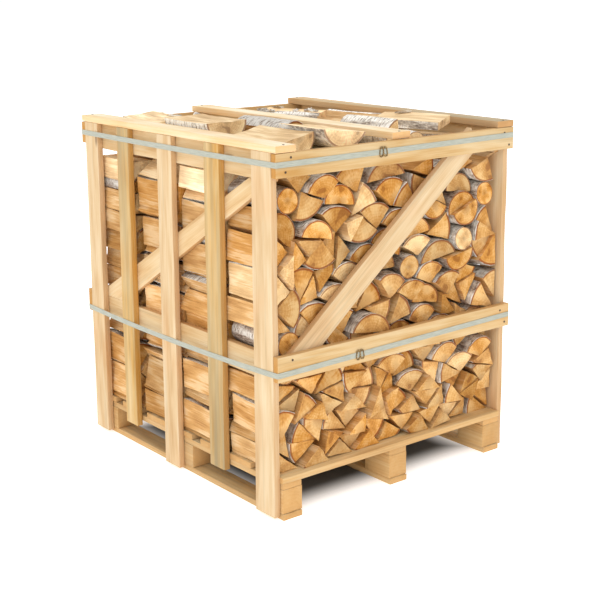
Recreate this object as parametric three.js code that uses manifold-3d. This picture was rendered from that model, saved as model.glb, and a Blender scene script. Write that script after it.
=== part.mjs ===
// A strapped pallet crate of split birch firewood, in millimetres, +Z up.
// The face with the log ends looks along -Y and the slatted flanks look along +X and -X.
// The origin is on the floor under the middle of the crate.
import * as THREE from 'three';
import Module from 'manifold-3d';
import { mergeVertices } from 'three/addons/utils/BufferGeometryUtils.js';

// ---- Driving dimensions ----
const WIDTH = 1000; // over the slats of the two flanks
const DEPTH = 1120; // over the rails of the front and back
const RAIL_TOP = 1130; // top edge of every upper rail and slat
const BOARD = 22; // thickness of every crate board
const GAP = 0.3; // clearance between pieces that touch

const SKID = { width: 75, thick: 20 };
const BLOCK = { width: 78, length: 120, height: 78 };
const BEARER = { width: 75, thick: 20 };
const DECK = { thick: 20, width: 118, count: 7 };
const PALLET_LENGTH = 1100; // along Y
const PALLET_WIDTH = 955; // along X, between the slats of the flanks

const FRONT_TOP_RAIL = { low: 1055, high: 1130 };
const FRONT_MID_RAIL = { low: 444, high: 524 };
const FLANK_TOP_RAIL = { low: 1040, high: 1130 };
const FLANK_MID_RAIL = { low: 430, high: 512 };
const FRONT_BRACE = { foot: -433, footZ: 470, slope: 39.5, length: 1006, width: 76 };
const FLANK_BRACE = { topY: -452, bottomY: 432, topWidth: 54, bottomWidth: 86 };

const LOG_LENGTH = 250;
const LOG_ROWS = 4;
const ROW_PITCH = 258; // a row of logs and the gap behind it
const STACK_TOP = 1092; // highest point of the stacked rows
const LOOSE = { left: 1200, right: 1182 }; // highest points of the loose logs on top

const STRAP = { width: 17, thick: 1.2 };
const BUCKLE = { width: 30, height: 22, wire: 3.2 };
// Height of each strap's middle at the four corners, and where its buckle sits along the front.
const STRAPS = [
  { name: 'top', frontLeft: 1096, frontRight: 1103, backRight: 1098, backLeft: 1092, buckleX: -87 },
  { name: 'mid', frontLeft: 468, frontRight: 486, backRight: 474, backLeft: 458, buckleX: -179 },
];

// ---- Worked out from the above ----
const FLANK = WIDTH / 2;
const FACE = DEPTH / 2;
const INNER_FLANK = FLANK - BOARD; // inner face of the slats
const INNER_FACE = FACE - BOARD; // inner face of the front and back rails
const CAVITY_X = INNER_FLANK - BOARD; // inner face of the flank rails
const CAVITY_Y = INNER_FACE - BOARD; // inner face of the front and back braces
const BLOCK_TOP = SKID.thick + BLOCK.height;
const DECK_TOP = BLOCK_TOP + BEARER.thick + DECK.thick;

const SKID_LINES = [
  { name: 'left', x: -PALLET_WIDTH / 2 + BLOCK.width / 2 },
  { name: 'middle', x: 0 },
  { name: 'right', x: PALLET_WIDTH / 2 - BLOCK.width / 2 },
];
const BLOCK_ROWS = [
  { name: 'front', y: -PALLET_LENGTH / 2 + BLOCK.length / 2 + 4 },
  { name: 'centre', y: 0 },
  { name: 'back', y: PALLET_LENGTH / 2 - BLOCK.length / 2 - 4 },
];
// Each slat: its two edges along Y and the height that its foot hangs down to.
const SLATS = [
  { name: 'front_corner', from: -INNER_FACE, to: -440, foot: 10 },
  { name: 'front_infill', from: -276, to: -192, foot: 84 },
  { name: 'centre', from: -13, to: 74, foot: 10 },
  { name: 'back_infill', from: 250, to: 326, foot: 84 },
  { name: 'back_corner', from: 452, to: INNER_FACE, foot: 10 },
];

const SAWN_PINE = { color: 0xe8cd9c, roughness: 0.78, metalness: 0 };
const WEATHERED_PINE = { color: 0xb9a486, roughness: 0.85, metalness: 0 };
const PALLET_WOOD = { color: 0xd9b27a, roughness: 0.82, metalness: 0 };
const SPLIT_BIRCH = { color: 0xd9a566, roughness: 0.85, metalness: 0 };
const POLYESTER_STRAP = { color: 0xaeb8ab, roughness: 0.45, metalness: 0 };
const GALVANISED_WIRE = { color: 0x9a8f80, roughness: 0.4, metalness: 0.9 };

const TOP_BOARDS = [
  { name: 'left', from: -FLANK, to: -FLANK + 76, front: -FACE, finish: SAWN_PINE },
  { name: 'middle', from: -34, to: 42, front: -FACE + 14, finish: SAWN_PINE },
  { name: 'right', from: FLANK - 78, to: FLANK, front: -FACE, finish: WEATHERED_PINE },
];

const wasm = await Module();
wasm.setup();
const crate = new THREE.Group();

// ---- Helpers ----

/** Adds one sub-part to the crate under its own name and material. */
function addPart(name, geometry, finish) {
  const mesh = new THREE.Mesh(geometry, new THREE.MeshStandardMaterial(finish));
  mesh.name = name;
  crate.add(mesh);
  return mesh;
}

/** A box between two corners. */
function boxBetween(low, high) {
  const size = high.map((value, axis) => value - low[axis]);
  const geometry = new THREE.BoxGeometry(...size);
  return geometry.translate(low[0] + size[0] / 2, low[1] + size[1] / 2, low[2] + size[2] / 2);
}

/** An outline given as [across, up] points, made into a shape. */
function outline(points) {
  return new THREE.Shape(points.map(([across, up]) => new THREE.Vector2(across, up)));
}

/** Extrudes an outline in the XZ plane from one Y to another. */
function extrudeAlongY(points, fromY, toY) {
  const geometry = new THREE.ExtrudeGeometry(outline(points), {
    depth: toY - fromY,
    bevelEnabled: false,
  });
  return geometry.rotateX(Math.PI / 2).translate(0, toY, 0);
}

/** Extrudes an outline in the YZ plane from one X to another. */
function extrudeAlongX(points, fromX, toX) {
  const geometry = new THREE.ExtrudeGeometry(outline(points), {
    depth: toX - fromX,
    bevelEnabled: false,
  });
  const turn = new THREE.Matrix4().makeBasis(
    new THREE.Vector3(0, 1, 0),
    new THREE.Vector3(0, 0, 1),
    new THREE.Vector3(1, 0, 0),
  );
  return geometry.applyMatrix4(turn).translate(fromX, 0, 0);
}

/** Turns a closed three.js geometry into a solid for cutting. */
function toSolid(geometry) {
  const bare = geometry.clone();
  bare.deleteAttribute('normal');
  bare.deleteAttribute('uv');
  const merged = mergeVertices(bare, 1e-4);
  return new wasm.Manifold(new wasm.Mesh({
    numProp: 3,
    vertProperties: Float32Array.from(merged.attributes.position.array),
    triVerts: Uint32Array.from(merged.index.array),
  }));
}

/** Turns a cut solid back into a three.js geometry. */
function toGeometry(solid) {
  const mesh = solid.getMesh();
  const geometry = new THREE.BufferGeometry();
  geometry.setAttribute('position', new THREE.BufferAttribute(mesh.vertProperties, 3));
  geometry.setIndex(new THREE.BufferAttribute(mesh.triVerts, 1));
  geometry.computeVertexNormals();
  return geometry;
}

// ---- Pallet ----

/** Three runners on the floor, each with three blocks and a bearer on them. */
function addPalletRunners() {
  const half = PALLET_LENGTH / 2;
  for (const line of SKID_LINES) {
    const skidLow = [line.x - SKID.width / 2, -half, 0];
    const skidHigh = [line.x + SKID.width / 2, half, SKID.thick - GAP];
    addPart(`skid_${line.name}`, boxBetween(skidLow, skidHigh), PALLET_WOOD);

    for (const row of BLOCK_ROWS) {
      const low = [line.x - BLOCK.width / 2, row.y - BLOCK.length / 2, SKID.thick];
      const high = [line.x + BLOCK.width / 2, row.y + BLOCK.length / 2, BLOCK_TOP - GAP];
      addPart(`block_${line.name}_${row.name}`, boxBetween(low, high), PALLET_WOOD);
    }

    const bearerLow = [line.x - BEARER.width / 2, -half + 4, BLOCK_TOP];
    const bearerHigh = [line.x + BEARER.width / 2, half - 4, BLOCK_TOP + BEARER.thick - GAP];
    addPart(`bearer_${line.name}`, boxBetween(bearerLow, bearerHigh), PALLET_WOOD);
  }
}

/** The floor that the logs stand on: boards across the bearers, with even gaps. */
function addPalletDeck() {
  const pitch = (PALLET_LENGTH - DECK.width) / (DECK.count - 1);
  for (let index = 0; index < DECK.count; index += 1) {
    const start = -PALLET_LENGTH / 2 + index * pitch;
    const low = [-PALLET_WIDTH / 2, start, DECK_TOP - DECK.thick];
    const high = [PALLET_WIDTH / 2, start + DECK.width, DECK_TOP - GAP];
    addPart(`deck_board_${index + 1}`, boxBetween(low, high), PALLET_WOOD);
  }
}

// ---- Crate ----

/** Five upright slats, two rails and a brace on one flank; side is -1 or 1. */
function addFlank(name, side) {
  const outer = side * FLANK;
  const inner = side * INNER_FLANK;
  for (const slat of SLATS) {
    const low = [Math.min(outer, inner), slat.from, slat.foot];
    const high = [Math.max(outer, inner), slat.to, RAIL_TOP];
    addPart(`slat_${name}_${slat.name}`, boxBetween(low, high), SAWN_PINE);
  }

  const layer = [side * (INNER_FLANK - GAP), side * CAVITY_X].sort((a, b) => a - b);
  const end = CAVITY_Y - 1;
  for (const [level, rail] of [['top', FLANK_TOP_RAIL], ['mid', FLANK_MID_RAIL]]) {
    const geometry = boxBetween([layer[0], -end, rail.low], [layer[1], end, rail.high]);
    addPart(`rail_${name}_${level}`, geometry, SAWN_PINE);
  }

  // The brace is fitted between the rails, and is wider at its foot.
  const top = FLANK_TOP_RAIL.low - GAP;
  const bottom = FLANK_MID_RAIL.high + GAP;
  const brace = [
    [FLANK_BRACE.topY - FLANK_BRACE.topWidth, top],
    [FLANK_BRACE.bottomY - FLANK_BRACE.bottomWidth, bottom],
    [FLANK_BRACE.bottomY + FLANK_BRACE.bottomWidth, bottom],
    [FLANK_BRACE.topY + FLANK_BRACE.topWidth, top],
  ];
  addPart(`brace_${name}`, extrudeAlongX(brace, layer[0], layer[1]), SAWN_PINE);
}

/** Two rails nailed across the slats' edges and a diagonal behind them; side is -1 or 1. */
function addFace(name, side) {
  const layer = [side * FACE, side * (INNER_FACE + GAP)].sort((a, b) => a - b);
  for (const [level, rail] of [['top', FRONT_TOP_RAIL], ['mid', FRONT_MID_RAIL]]) {
    const geometry = boxBetween([-FLANK, layer[0], rail.low], [FLANK, layer[1], rail.high]);
    addPart(`rail_${name}_${level}`, geometry, SAWN_PINE);
  }

  const board = new THREE.BoxGeometry(FRONT_BRACE.length, BOARD - GAP, FRONT_BRACE.width);
  board.translate(FRONT_BRACE.length / 2, 0, 0);
  board.rotateY(-THREE.MathUtils.degToRad(FRONT_BRACE.slope));
  board.translate(FRONT_BRACE.foot, 0, FRONT_BRACE.footZ);
  const brace = addPart(`brace_${name}`, board, SAWN_PINE);
  brace.position.y = side * (INNER_FACE - (BOARD + GAP) / 2);
  if (side > 0) {
    brace.rotation.z = Math.PI;
  }
}

/** Three boards laid flat along the top, on the rails and the slats. */
function addTopBoards() {
  for (const board of TOP_BOARDS) {
    const low = [board.from, board.front, RAIL_TOP + GAP];
    const high = [board.to, FACE, RAIL_TOP + BOARD];
    addPart(`top_board_${board.name}`, boxBetween(low, high), board.finish);
  }
}

// ---- Straps ----

/** One flat strap right round the crate, over slats and rails, at its own height at each corner. */
function addStrap(strap) {
  const corners = [
    [-1, -1, strap.frontLeft],
    [1, -1, strap.frontRight],
    [1, 1, strap.backRight],
    [-1, 1, strap.backLeft],
  ];
  // The section's four points, as how far out and how far up they are.
  const section = [
    [GAP, -STRAP.width / 2],
    [GAP + STRAP.thick, -STRAP.width / 2],
    [GAP + STRAP.thick, STRAP.width / 2],
    [GAP, STRAP.width / 2],
  ];
  const points = corners.flatMap(([x, y, height]) => section.map(([out, up]) => [
    x * (FLANK + out),
    y * (FACE + out),
    height + up,
  ]));
  const index = [];
  for (let corner = 0; corner < corners.length; corner += 1) {
    for (let edge = 0; edge < section.length; edge += 1) {
      const next = (edge + 1) % section.length;
      const here = corner * section.length;
      const there = ((corner + 1) % corners.length) * section.length;
      index.push(here + edge, there + edge, there + next);
      index.push(here + edge, there + next, here + next);
    }
  }
  const geometry = new THREE.BufferGeometry();
  geometry.setAttribute('position', new THREE.Float32BufferAttribute(points.flat(), 3));
  geometry.setIndex(index);
  addPart(`strap_${strap.name}`, geometry, POLYESTER_STRAP);
}

/** A flat wire buckle that the strap's ends are drawn through, on the front. */
function addBuckle(strap) {
  const along = (strap.buckleX + FLANK) / WIDTH;
  const height = THREE.MathUtils.lerp(strap.frontLeft, strap.frontRight, along);
  const surface = -FACE - GAP - STRAP.thick - GAP;
  const x = strap.buckleX;
  let solid = toSolid(boxBetween(
    [x - BUCKLE.width / 2, surface - BUCKLE.wire, height - BUCKLE.height / 2],
    [x + BUCKLE.width / 2, surface, height + BUCKLE.height / 2],
  ));
  const window = (BUCKLE.width - 3 * BUCKLE.wire) / 2;
  for (const side of [-1, 1]) {
    const centre = x + (side * (BUCKLE.wire + window)) / 2;
    solid = solid.subtract(toSolid(boxBetween(
      [centre - window / 2, surface - 2 * BUCKLE.wire, height - BUCKLE.height / 2 + BUCKLE.wire],
      [centre + window / 2, surface + BUCKLE.wire, height + BUCKLE.height / 2 - BUCKLE.wire],
    )));
  }
  addPart(`buckle_${strap.name}`, toGeometry(solid), GALVANISED_WIRE);
}

// ---- Firewood ----

/** One solid for each row of stacked logs, reaching the ends of its logs. */
function addLogRows() {
  const side = CAVITY_X - GAP;
  const base = DECK_TOP + GAP;
  const heap = [
    [-side, base],
    [side, base],
    [side, STACK_TOP - 60],
    [side - 70, STACK_TOP],
    [-side, STACK_TOP],
  ];
  for (let index = 0; index < LOG_ROWS; index += 1) {
    const centre = (index - (LOG_ROWS - 1) / 2) * ROW_PITCH;
    const geometry = extrudeAlongY(heap, centre - LOG_LENGTH / 2, centre + LOG_LENGTH / 2);
    addPart(`log_row_${index + 1}`, geometry, SPLIT_BIRCH);
  }
}

/** The loose logs on top: a heap on each side of the middle top board, in outline. */
function addLooseLogs() {
  const side = CAVITY_X - GAP;
  const base = STACK_TOP + GAP;
  const shoulder = RAIL_TOP - GAP; // just under the top boards
  const end = CAVITY_Y - 4;
  const [leftBoard, middleBoard, rightBoard] = TOP_BOARDS;
  const clear = 3; // between the heaps and the top boards' edges
  const split = (middleBoard.from + middleBoard.to) / 2;
  const left = [
    [-side, base],
    [split - GAP, base],
    [split - GAP, shoulder],
    [middleBoard.from - clear, shoulder],
    [middleBoard.from - clear, LOOSE.left - 30],
    [middleBoard.from - 150, LOOSE.left - 5],
    [leftBoard.to + 50, LOOSE.left],
    [leftBoard.to + clear, LOOSE.left - 35],
    [leftBoard.to + clear, shoulder],
    [-side, shoulder],
  ];
  const right = [
    [split + GAP, base],
    [side, base],
    [side, shoulder],
    [rightBoard.from - clear, shoulder],
    [rightBoard.from - clear, LOOSE.right - 25],
    [rightBoard.from - 90, LOOSE.right],
    [middleBoard.to + 110, LOOSE.right],
    [middleBoard.to + clear, LOOSE.right - 25],
    [middleBoard.to + clear, shoulder],
    [split + GAP, shoulder],
  ];
  addPart('loose_logs_left', extrudeAlongY(left, -end, end), SPLIT_BIRCH);
  addPart('loose_logs_right', extrudeAlongY(right, -end, end), SPLIT_BIRCH);
}

addPalletRunners();
addPalletDeck();
addFlank('left', -1);
addFlank('right', 1);
addFace('front', -1);
addFace('back', 1);
addTopBoards();
STRAPS.forEach(addStrap);
STRAPS.forEach(addBuckle);
addLogRows();
addLooseLogs();

export default crate;
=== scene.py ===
"""A strapped pallet crate of split birch firewood.

The crate's boards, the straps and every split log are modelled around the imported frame.
Lengths are in metres unless a name says otherwise: +X to the right, +Y into the crate along
the logs, +Z up.
"""
import logging
import math
from dataclasses import dataclass, field
from enum import Enum
from typing import Any, Callable, Iterable, Sequence

import bmesh
import bpy
import numpy as np
from mathutils import Matrix, Vector


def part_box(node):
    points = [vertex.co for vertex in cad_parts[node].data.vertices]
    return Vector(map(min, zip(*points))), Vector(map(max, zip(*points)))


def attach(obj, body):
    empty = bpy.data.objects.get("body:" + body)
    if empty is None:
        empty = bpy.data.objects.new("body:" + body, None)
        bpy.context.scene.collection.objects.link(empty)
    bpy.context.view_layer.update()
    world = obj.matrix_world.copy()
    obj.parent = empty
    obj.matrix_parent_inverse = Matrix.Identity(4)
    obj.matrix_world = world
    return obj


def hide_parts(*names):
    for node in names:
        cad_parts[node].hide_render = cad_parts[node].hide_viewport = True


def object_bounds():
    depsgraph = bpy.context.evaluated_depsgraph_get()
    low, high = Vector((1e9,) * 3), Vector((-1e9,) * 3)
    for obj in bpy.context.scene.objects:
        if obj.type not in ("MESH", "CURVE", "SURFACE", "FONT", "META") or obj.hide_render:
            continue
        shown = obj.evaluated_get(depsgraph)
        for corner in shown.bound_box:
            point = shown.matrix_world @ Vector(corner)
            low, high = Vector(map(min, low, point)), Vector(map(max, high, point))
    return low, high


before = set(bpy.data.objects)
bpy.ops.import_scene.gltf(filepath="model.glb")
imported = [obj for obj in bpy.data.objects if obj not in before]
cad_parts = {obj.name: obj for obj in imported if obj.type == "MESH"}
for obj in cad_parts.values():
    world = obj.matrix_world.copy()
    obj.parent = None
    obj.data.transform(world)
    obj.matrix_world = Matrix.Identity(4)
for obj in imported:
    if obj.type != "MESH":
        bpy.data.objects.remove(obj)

CAD_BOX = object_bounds()
MM = 0.001
LOG = logging.getLogger("firewood_crate")

Point = tuple[float, float, float]


# ---------------------------------------------------------------- colour and nodes


def srgb(code: str) -> tuple[float, float, float, float]:
    """Turn an sRGB hex colour into Blender's linear RGBA.

    Args:
        code: A colour such as "#e9ce9e".

    Returns:
        Linear red, green, blue and an alpha of one.
    """
    channels = [int(code[i:i + 2], 16) / 255 for i in (1, 3, 5)]
    linear = [c / 12.92 if c <= 0.04045 else ((c + 0.055) / 1.055) ** 2.4 for c in channels]
    return (linear[0], linear[1], linear[2], 1.0)


def add_node(
    tree: bpy.types.NodeTree,
    kind: str,
    inputs: dict[str | int, Any] | None = None,
    ramp: Sequence[tuple[float, str]] = (),
    **settings: Any,
) -> bpy.types.Node:
    """Add one node with its settings, values and links.

    Args:
        tree: The node tree to add to.
        kind: The node's type without its "ShaderNode" prefix.
        inputs: Values or output sockets, by the name or index of the input they go to.
        ramp: Places and hex colours of a colour ramp's stops.
        **settings: Properties of the node itself.

    Returns:
        The new node.
    """
    node = tree.nodes.new("ShaderNode" + kind)
    for name, value in settings.items():
        setattr(node, name, value)
    for name, value in (inputs or {}).items():
        if isinstance(value, bpy.types.NodeSocket):
            tree.links.new(value, node.inputs[name])
        else:
            node.inputs[name].default_value = value
    for index, (place, code) in enumerate(ramp):
        stops = node.color_ramp.elements
        stop = stops[index] if index < 2 else stops.new(place)
        stop.position = place
        stop.color = srgb(code)
    return node


def new_material(name: str) -> tuple[bpy.types.Material, bpy.types.NodeTree, bpy.types.Node]:
    """Make a material with a bare Principled shader.

    Args:
        name: The material's name.

    Returns:
        The material, its node tree and its Principled node.
    """
    material = bpy.data.materials.new(name)
    material.use_nodes = True
    tree = material.node_tree
    tree.nodes.clear()
    shader = add_node(tree, "BsdfPrincipled")
    add_node(tree, "OutputMaterial", {"Surface": shader.outputs["BSDF"]})
    return material, tree, shader


def stretched_noise(
    tree: bpy.types.NodeTree,
    place: bpy.types.NodeSocket,
    fineness: Point,
    detail: float = 3.0,
    roughness: float = 0.5,
) -> bpy.types.NodeSocket:
    """Lay a noise that is finer along some axes than along others.

    Args:
        tree: The material's node tree.
        place: Where on the piece.
        fineness: Waves per unit of place along each axis.
        detail: How many finer layers it has.
        roughness: How strong the finer layers are.

    Returns:
        The noise's value, about one half on average.
    """
    spread = add_node(tree, "VectorMath", {0: place, 1: fineness}, operation="MULTIPLY")
    noise = add_node(tree, "TexNoise", {"Vector": spread.outputs["Vector"], "Scale": 1.0,
                                        "Detail": detail, "Roughness": roughness})
    return noise.outputs["Fac"]


# ---------------------------------------------------------------- finishes


@dataclass(frozen=True)
class SawnBoard:
    """Rough-sawn spruce: pale cream, with soft growth bands, few knots and a furry saw texture.

    Boards carry three attributes. "grain" is the place in the board, along, across and through,
    so that the bands run on round its edges and show as arcs on its ends. "tone" is the
    board's own lightness, weathering and warmth. "edge" is one on its narrow edges and ends,
    which are drawn more orange.
    """

    name: str
    dark: str = "#c89d66"
    mid: str = "#dbbb8c"
    pale: str = "#e6cea6"
    edge: str = "#c58e50"
    weathered: str = "#a0957c"
    band_mm: float = 11.0  # real rings are 3 mm apart, drawn coarser so that they show
    band_strength: float = 0.06
    knot_share: float = 0.8

    def build(self) -> bpy.types.Material:
        """Make the board material."""
        material, tree, shader = new_material(self.name)
        grain = add_node(tree, "Attribute", attribute_name="grain").outputs["Vector"]
        tone = add_node(tree, "Attribute", attribute_name="tone").outputs["Vector"]
        own = add_node(tree, "SeparateXYZ", {"Vector": tone})
        band = self.growth_bands(tree, grain)
        fibre = stretched_noise(tree, grain, (7.0, 300.0, 300.0), 2.0)
        blotch = stretched_noise(tree, grain, (3.2, 24.0, 24.0), 3.0)
        mixed = add_node(tree, "Math", {0: band, 1: self.band_strength, 2: blotch},
                         operation="MULTIPLY_ADD").outputs[0]
        mixed = add_node(tree, "Math", {0: fibre, 1: 0.45, 2: mixed},
                         operation="MULTIPLY_ADD").outputs[0]
        wood = add_node(tree, "ValToRGB", {"Fac": mixed},
                        ramp=[(0.42, self.dark), (0.70, self.mid), (0.98, self.pale)])
        # Rosy and orange stains, broad and faint.
        stain = stretched_noise(tree, grain, (5.0, 9.0, 9.0), 1.0)
        stained = add_node(tree, "MapRange", {"Value": stain, "From Min": 0.54, "From Max": 0.76,
                                              "To Min": 0.0, "To Max": 0.35})
        rosy = add_node(tree, "Mix", {0: stained.outputs[0], 6: wood.outputs["Color"],
                                      7: srgb("#e3b07a")}, data_type="RGBA")
        knotted = self.knots(tree, grain, rosy.outputs[2])
        # Weathering greys the board in long streaks, more where its tone says so.
        streak = stretched_noise(tree, grain, (1.8, 55.0, 55.0), 3.0)
        grey = add_node(tree, "Math", {0: own.outputs["Y"], 1: 1.0, 2: streak},
                        operation="MULTIPLY_ADD").outputs[0]
        greyed = add_node(tree, "MapRange", {"Value": grey, "From Min": 0.60, "From Max": 1.15,
                                             "To Min": 0.0, "To Max": 0.85})
        aged = add_node(tree, "Mix", {0: greyed.outputs[0], 6: knotted, 7: srgb(self.weathered)},
                        data_type="RGBA")
        edge = add_node(tree, "Attribute", attribute_name="edge").outputs["Fac"]
        edged = add_node(tree, "Mix", {0: edge, 6: aged.outputs[2], 7: srgb(self.edge)},
                         data_type="RGBA")
        bright = add_node(tree, "HueSaturation", {"Value": own.outputs["X"],
                                                  "Saturation": own.outputs["Z"],
                                                  "Color": edged.outputs[2]})
        tree.links.new(bright.outputs["Color"], shader.inputs["Base Color"])
        shader.inputs["Roughness"].default_value = 0.8
        shader.inputs["Specular IOR Level"].default_value = 0.25
        bump = add_node(tree, "Bump", {"Height": fibre, "Strength": 0.5, "Distance": 0.0015})
        tree.links.new(bump.outputs["Normal"], shader.inputs["Normal"])
        return material

    def growth_bands(
        self, tree: bpy.types.NodeTree, grain: bpy.types.NodeSocket
    ) -> bpy.types.NodeSocket:
        """Draw the growth rings round a heart that lies under the board's face."""
        place = add_node(tree, "SeparateXYZ", {"Vector": grain})
        drift = add_node(tree, "Math", {0: place.outputs["X"], 1: 0.03, 2: place.outputs["Z"]},
                         operation="MULTIPLY_ADD").outputs[0]
        spot = add_node(tree, "CombineXYZ", {"X": place.outputs["Y"], "Y": drift})
        reach = add_node(tree, "VectorMath", {0: spot.outputs["Vector"]}, operation="LENGTH")
        wander = stretched_noise(tree, grain, (2.4, 20.0, 20.0), 2.0)
        warped = add_node(tree, "Math", {0: wander, 1: 0.03, 2: reach.outputs["Value"]},
                          operation="MULTIPLY_ADD").outputs[0]
        phase = add_node(tree, "Math", {0: warped, 1: 2 * math.pi / (self.band_mm * MM)},
                         operation="MULTIPLY").outputs[0]
        return add_node(tree, "Math", {0: phase}, operation="SINE").outputs[0]

    def knots(
        self, tree: bpy.types.NodeTree, grain: bpy.types.NodeSocket, colour: bpy.types.NodeSocket
    ) -> bpy.types.NodeSocket:
        """Put a few brown knots, drawn out along the grain, into the board's colour."""
        spread = add_node(tree, "VectorMath", {0: grain, 1: (2.4, 9.0, 1.0)}, operation="MULTIPLY")
        knot = add_node(tree, "TexVoronoi", {"Vector": spread.outputs["Vector"], "Scale": 1.0})
        mask = add_node(tree, "MapRange", {"Value": knot.outputs["Distance"], "From Min": 0.03,
                                           "From Max": 0.085, "To Min": self.knot_share, "To Max": 0.0})
        mixed = add_node(tree, "Mix", {0: mask.outputs[0], 6: colour, 7: srgb("#7d5636")},
                         data_type="RGBA")
        return mixed.outputs[2]


@dataclass(frozen=True)
class LogFinish:
    """What the three birch finishes share.

    Logs carry "section", the place across the log with the bark at a radius of one and the
    distance along it in metres, and "tone", the log's own lightness, saturation and seed.
    """

    name: str

    def start(self) -> tuple[bpy.types.Material, bpy.types.NodeTree, bpy.types.Node]:
        """Make the bare material."""
        material, tree, shader = new_material(self.name)
        shader.inputs["Roughness"].default_value = 0.8
        shader.inputs["Specular IOR Level"].default_value = 0.22
        return material, tree, shader

    def seeded_place(self, tree: bpy.types.NodeTree) -> tuple[bpy.types.Node, bpy.types.NodeSocket]:
        """Return the log's own tone, and a place that differs from log to log."""
        section = add_node(tree, "Attribute", attribute_name="section").outputs["Vector"]
        tone = add_node(tree, "Attribute", attribute_name="tone").outputs["Vector"]
        own = add_node(tree, "SeparateXYZ", {"Vector": tone})
        shift = add_node(tree, "CombineXYZ", {"X": own.outputs["Z"], "Z": own.outputs["Z"]})
        place = add_node(tree, "VectorMath", {0: section, 1: shift.outputs["Vector"]}, operation="ADD")
        return own, place.outputs["Vector"]

    def colour(
        self,
        tree: bpy.types.NodeTree,
        shader: bpy.types.Node,
        own: bpy.types.Node,
        colour: bpy.types.NodeSocket,
    ) -> None:
        """Give the shader a colour in the log's own tone, which turns to cream as its saturation drops."""
        hue = add_node(tree, "Math", {0: own.outputs["Y"], 1: -0.06, 2: 0.56},
                       operation="MULTIPLY_ADD").outputs[0]
        toned = add_node(tree, "HueSaturation", {"Hue": hue, "Value": own.outputs["X"],
                                                 "Saturation": own.outputs["Y"], "Color": colour})
        tree.links.new(toned.outputs["Color"], shader.inputs["Base Color"])

    def emboss(
        self,
        tree: bpy.types.NodeTree,
        shader: bpy.types.Node,
        height: bpy.types.NodeSocket,
        depth_mm: float,
    ) -> None:
        """Raise the surface by a pattern."""
        bump = add_node(tree, "Bump", {"Height": height, "Strength": 1.0, "Distance": depth_mm * MM})
        tree.links.new(bump.outputs["Normal"], shader.inputs["Normal"])


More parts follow.
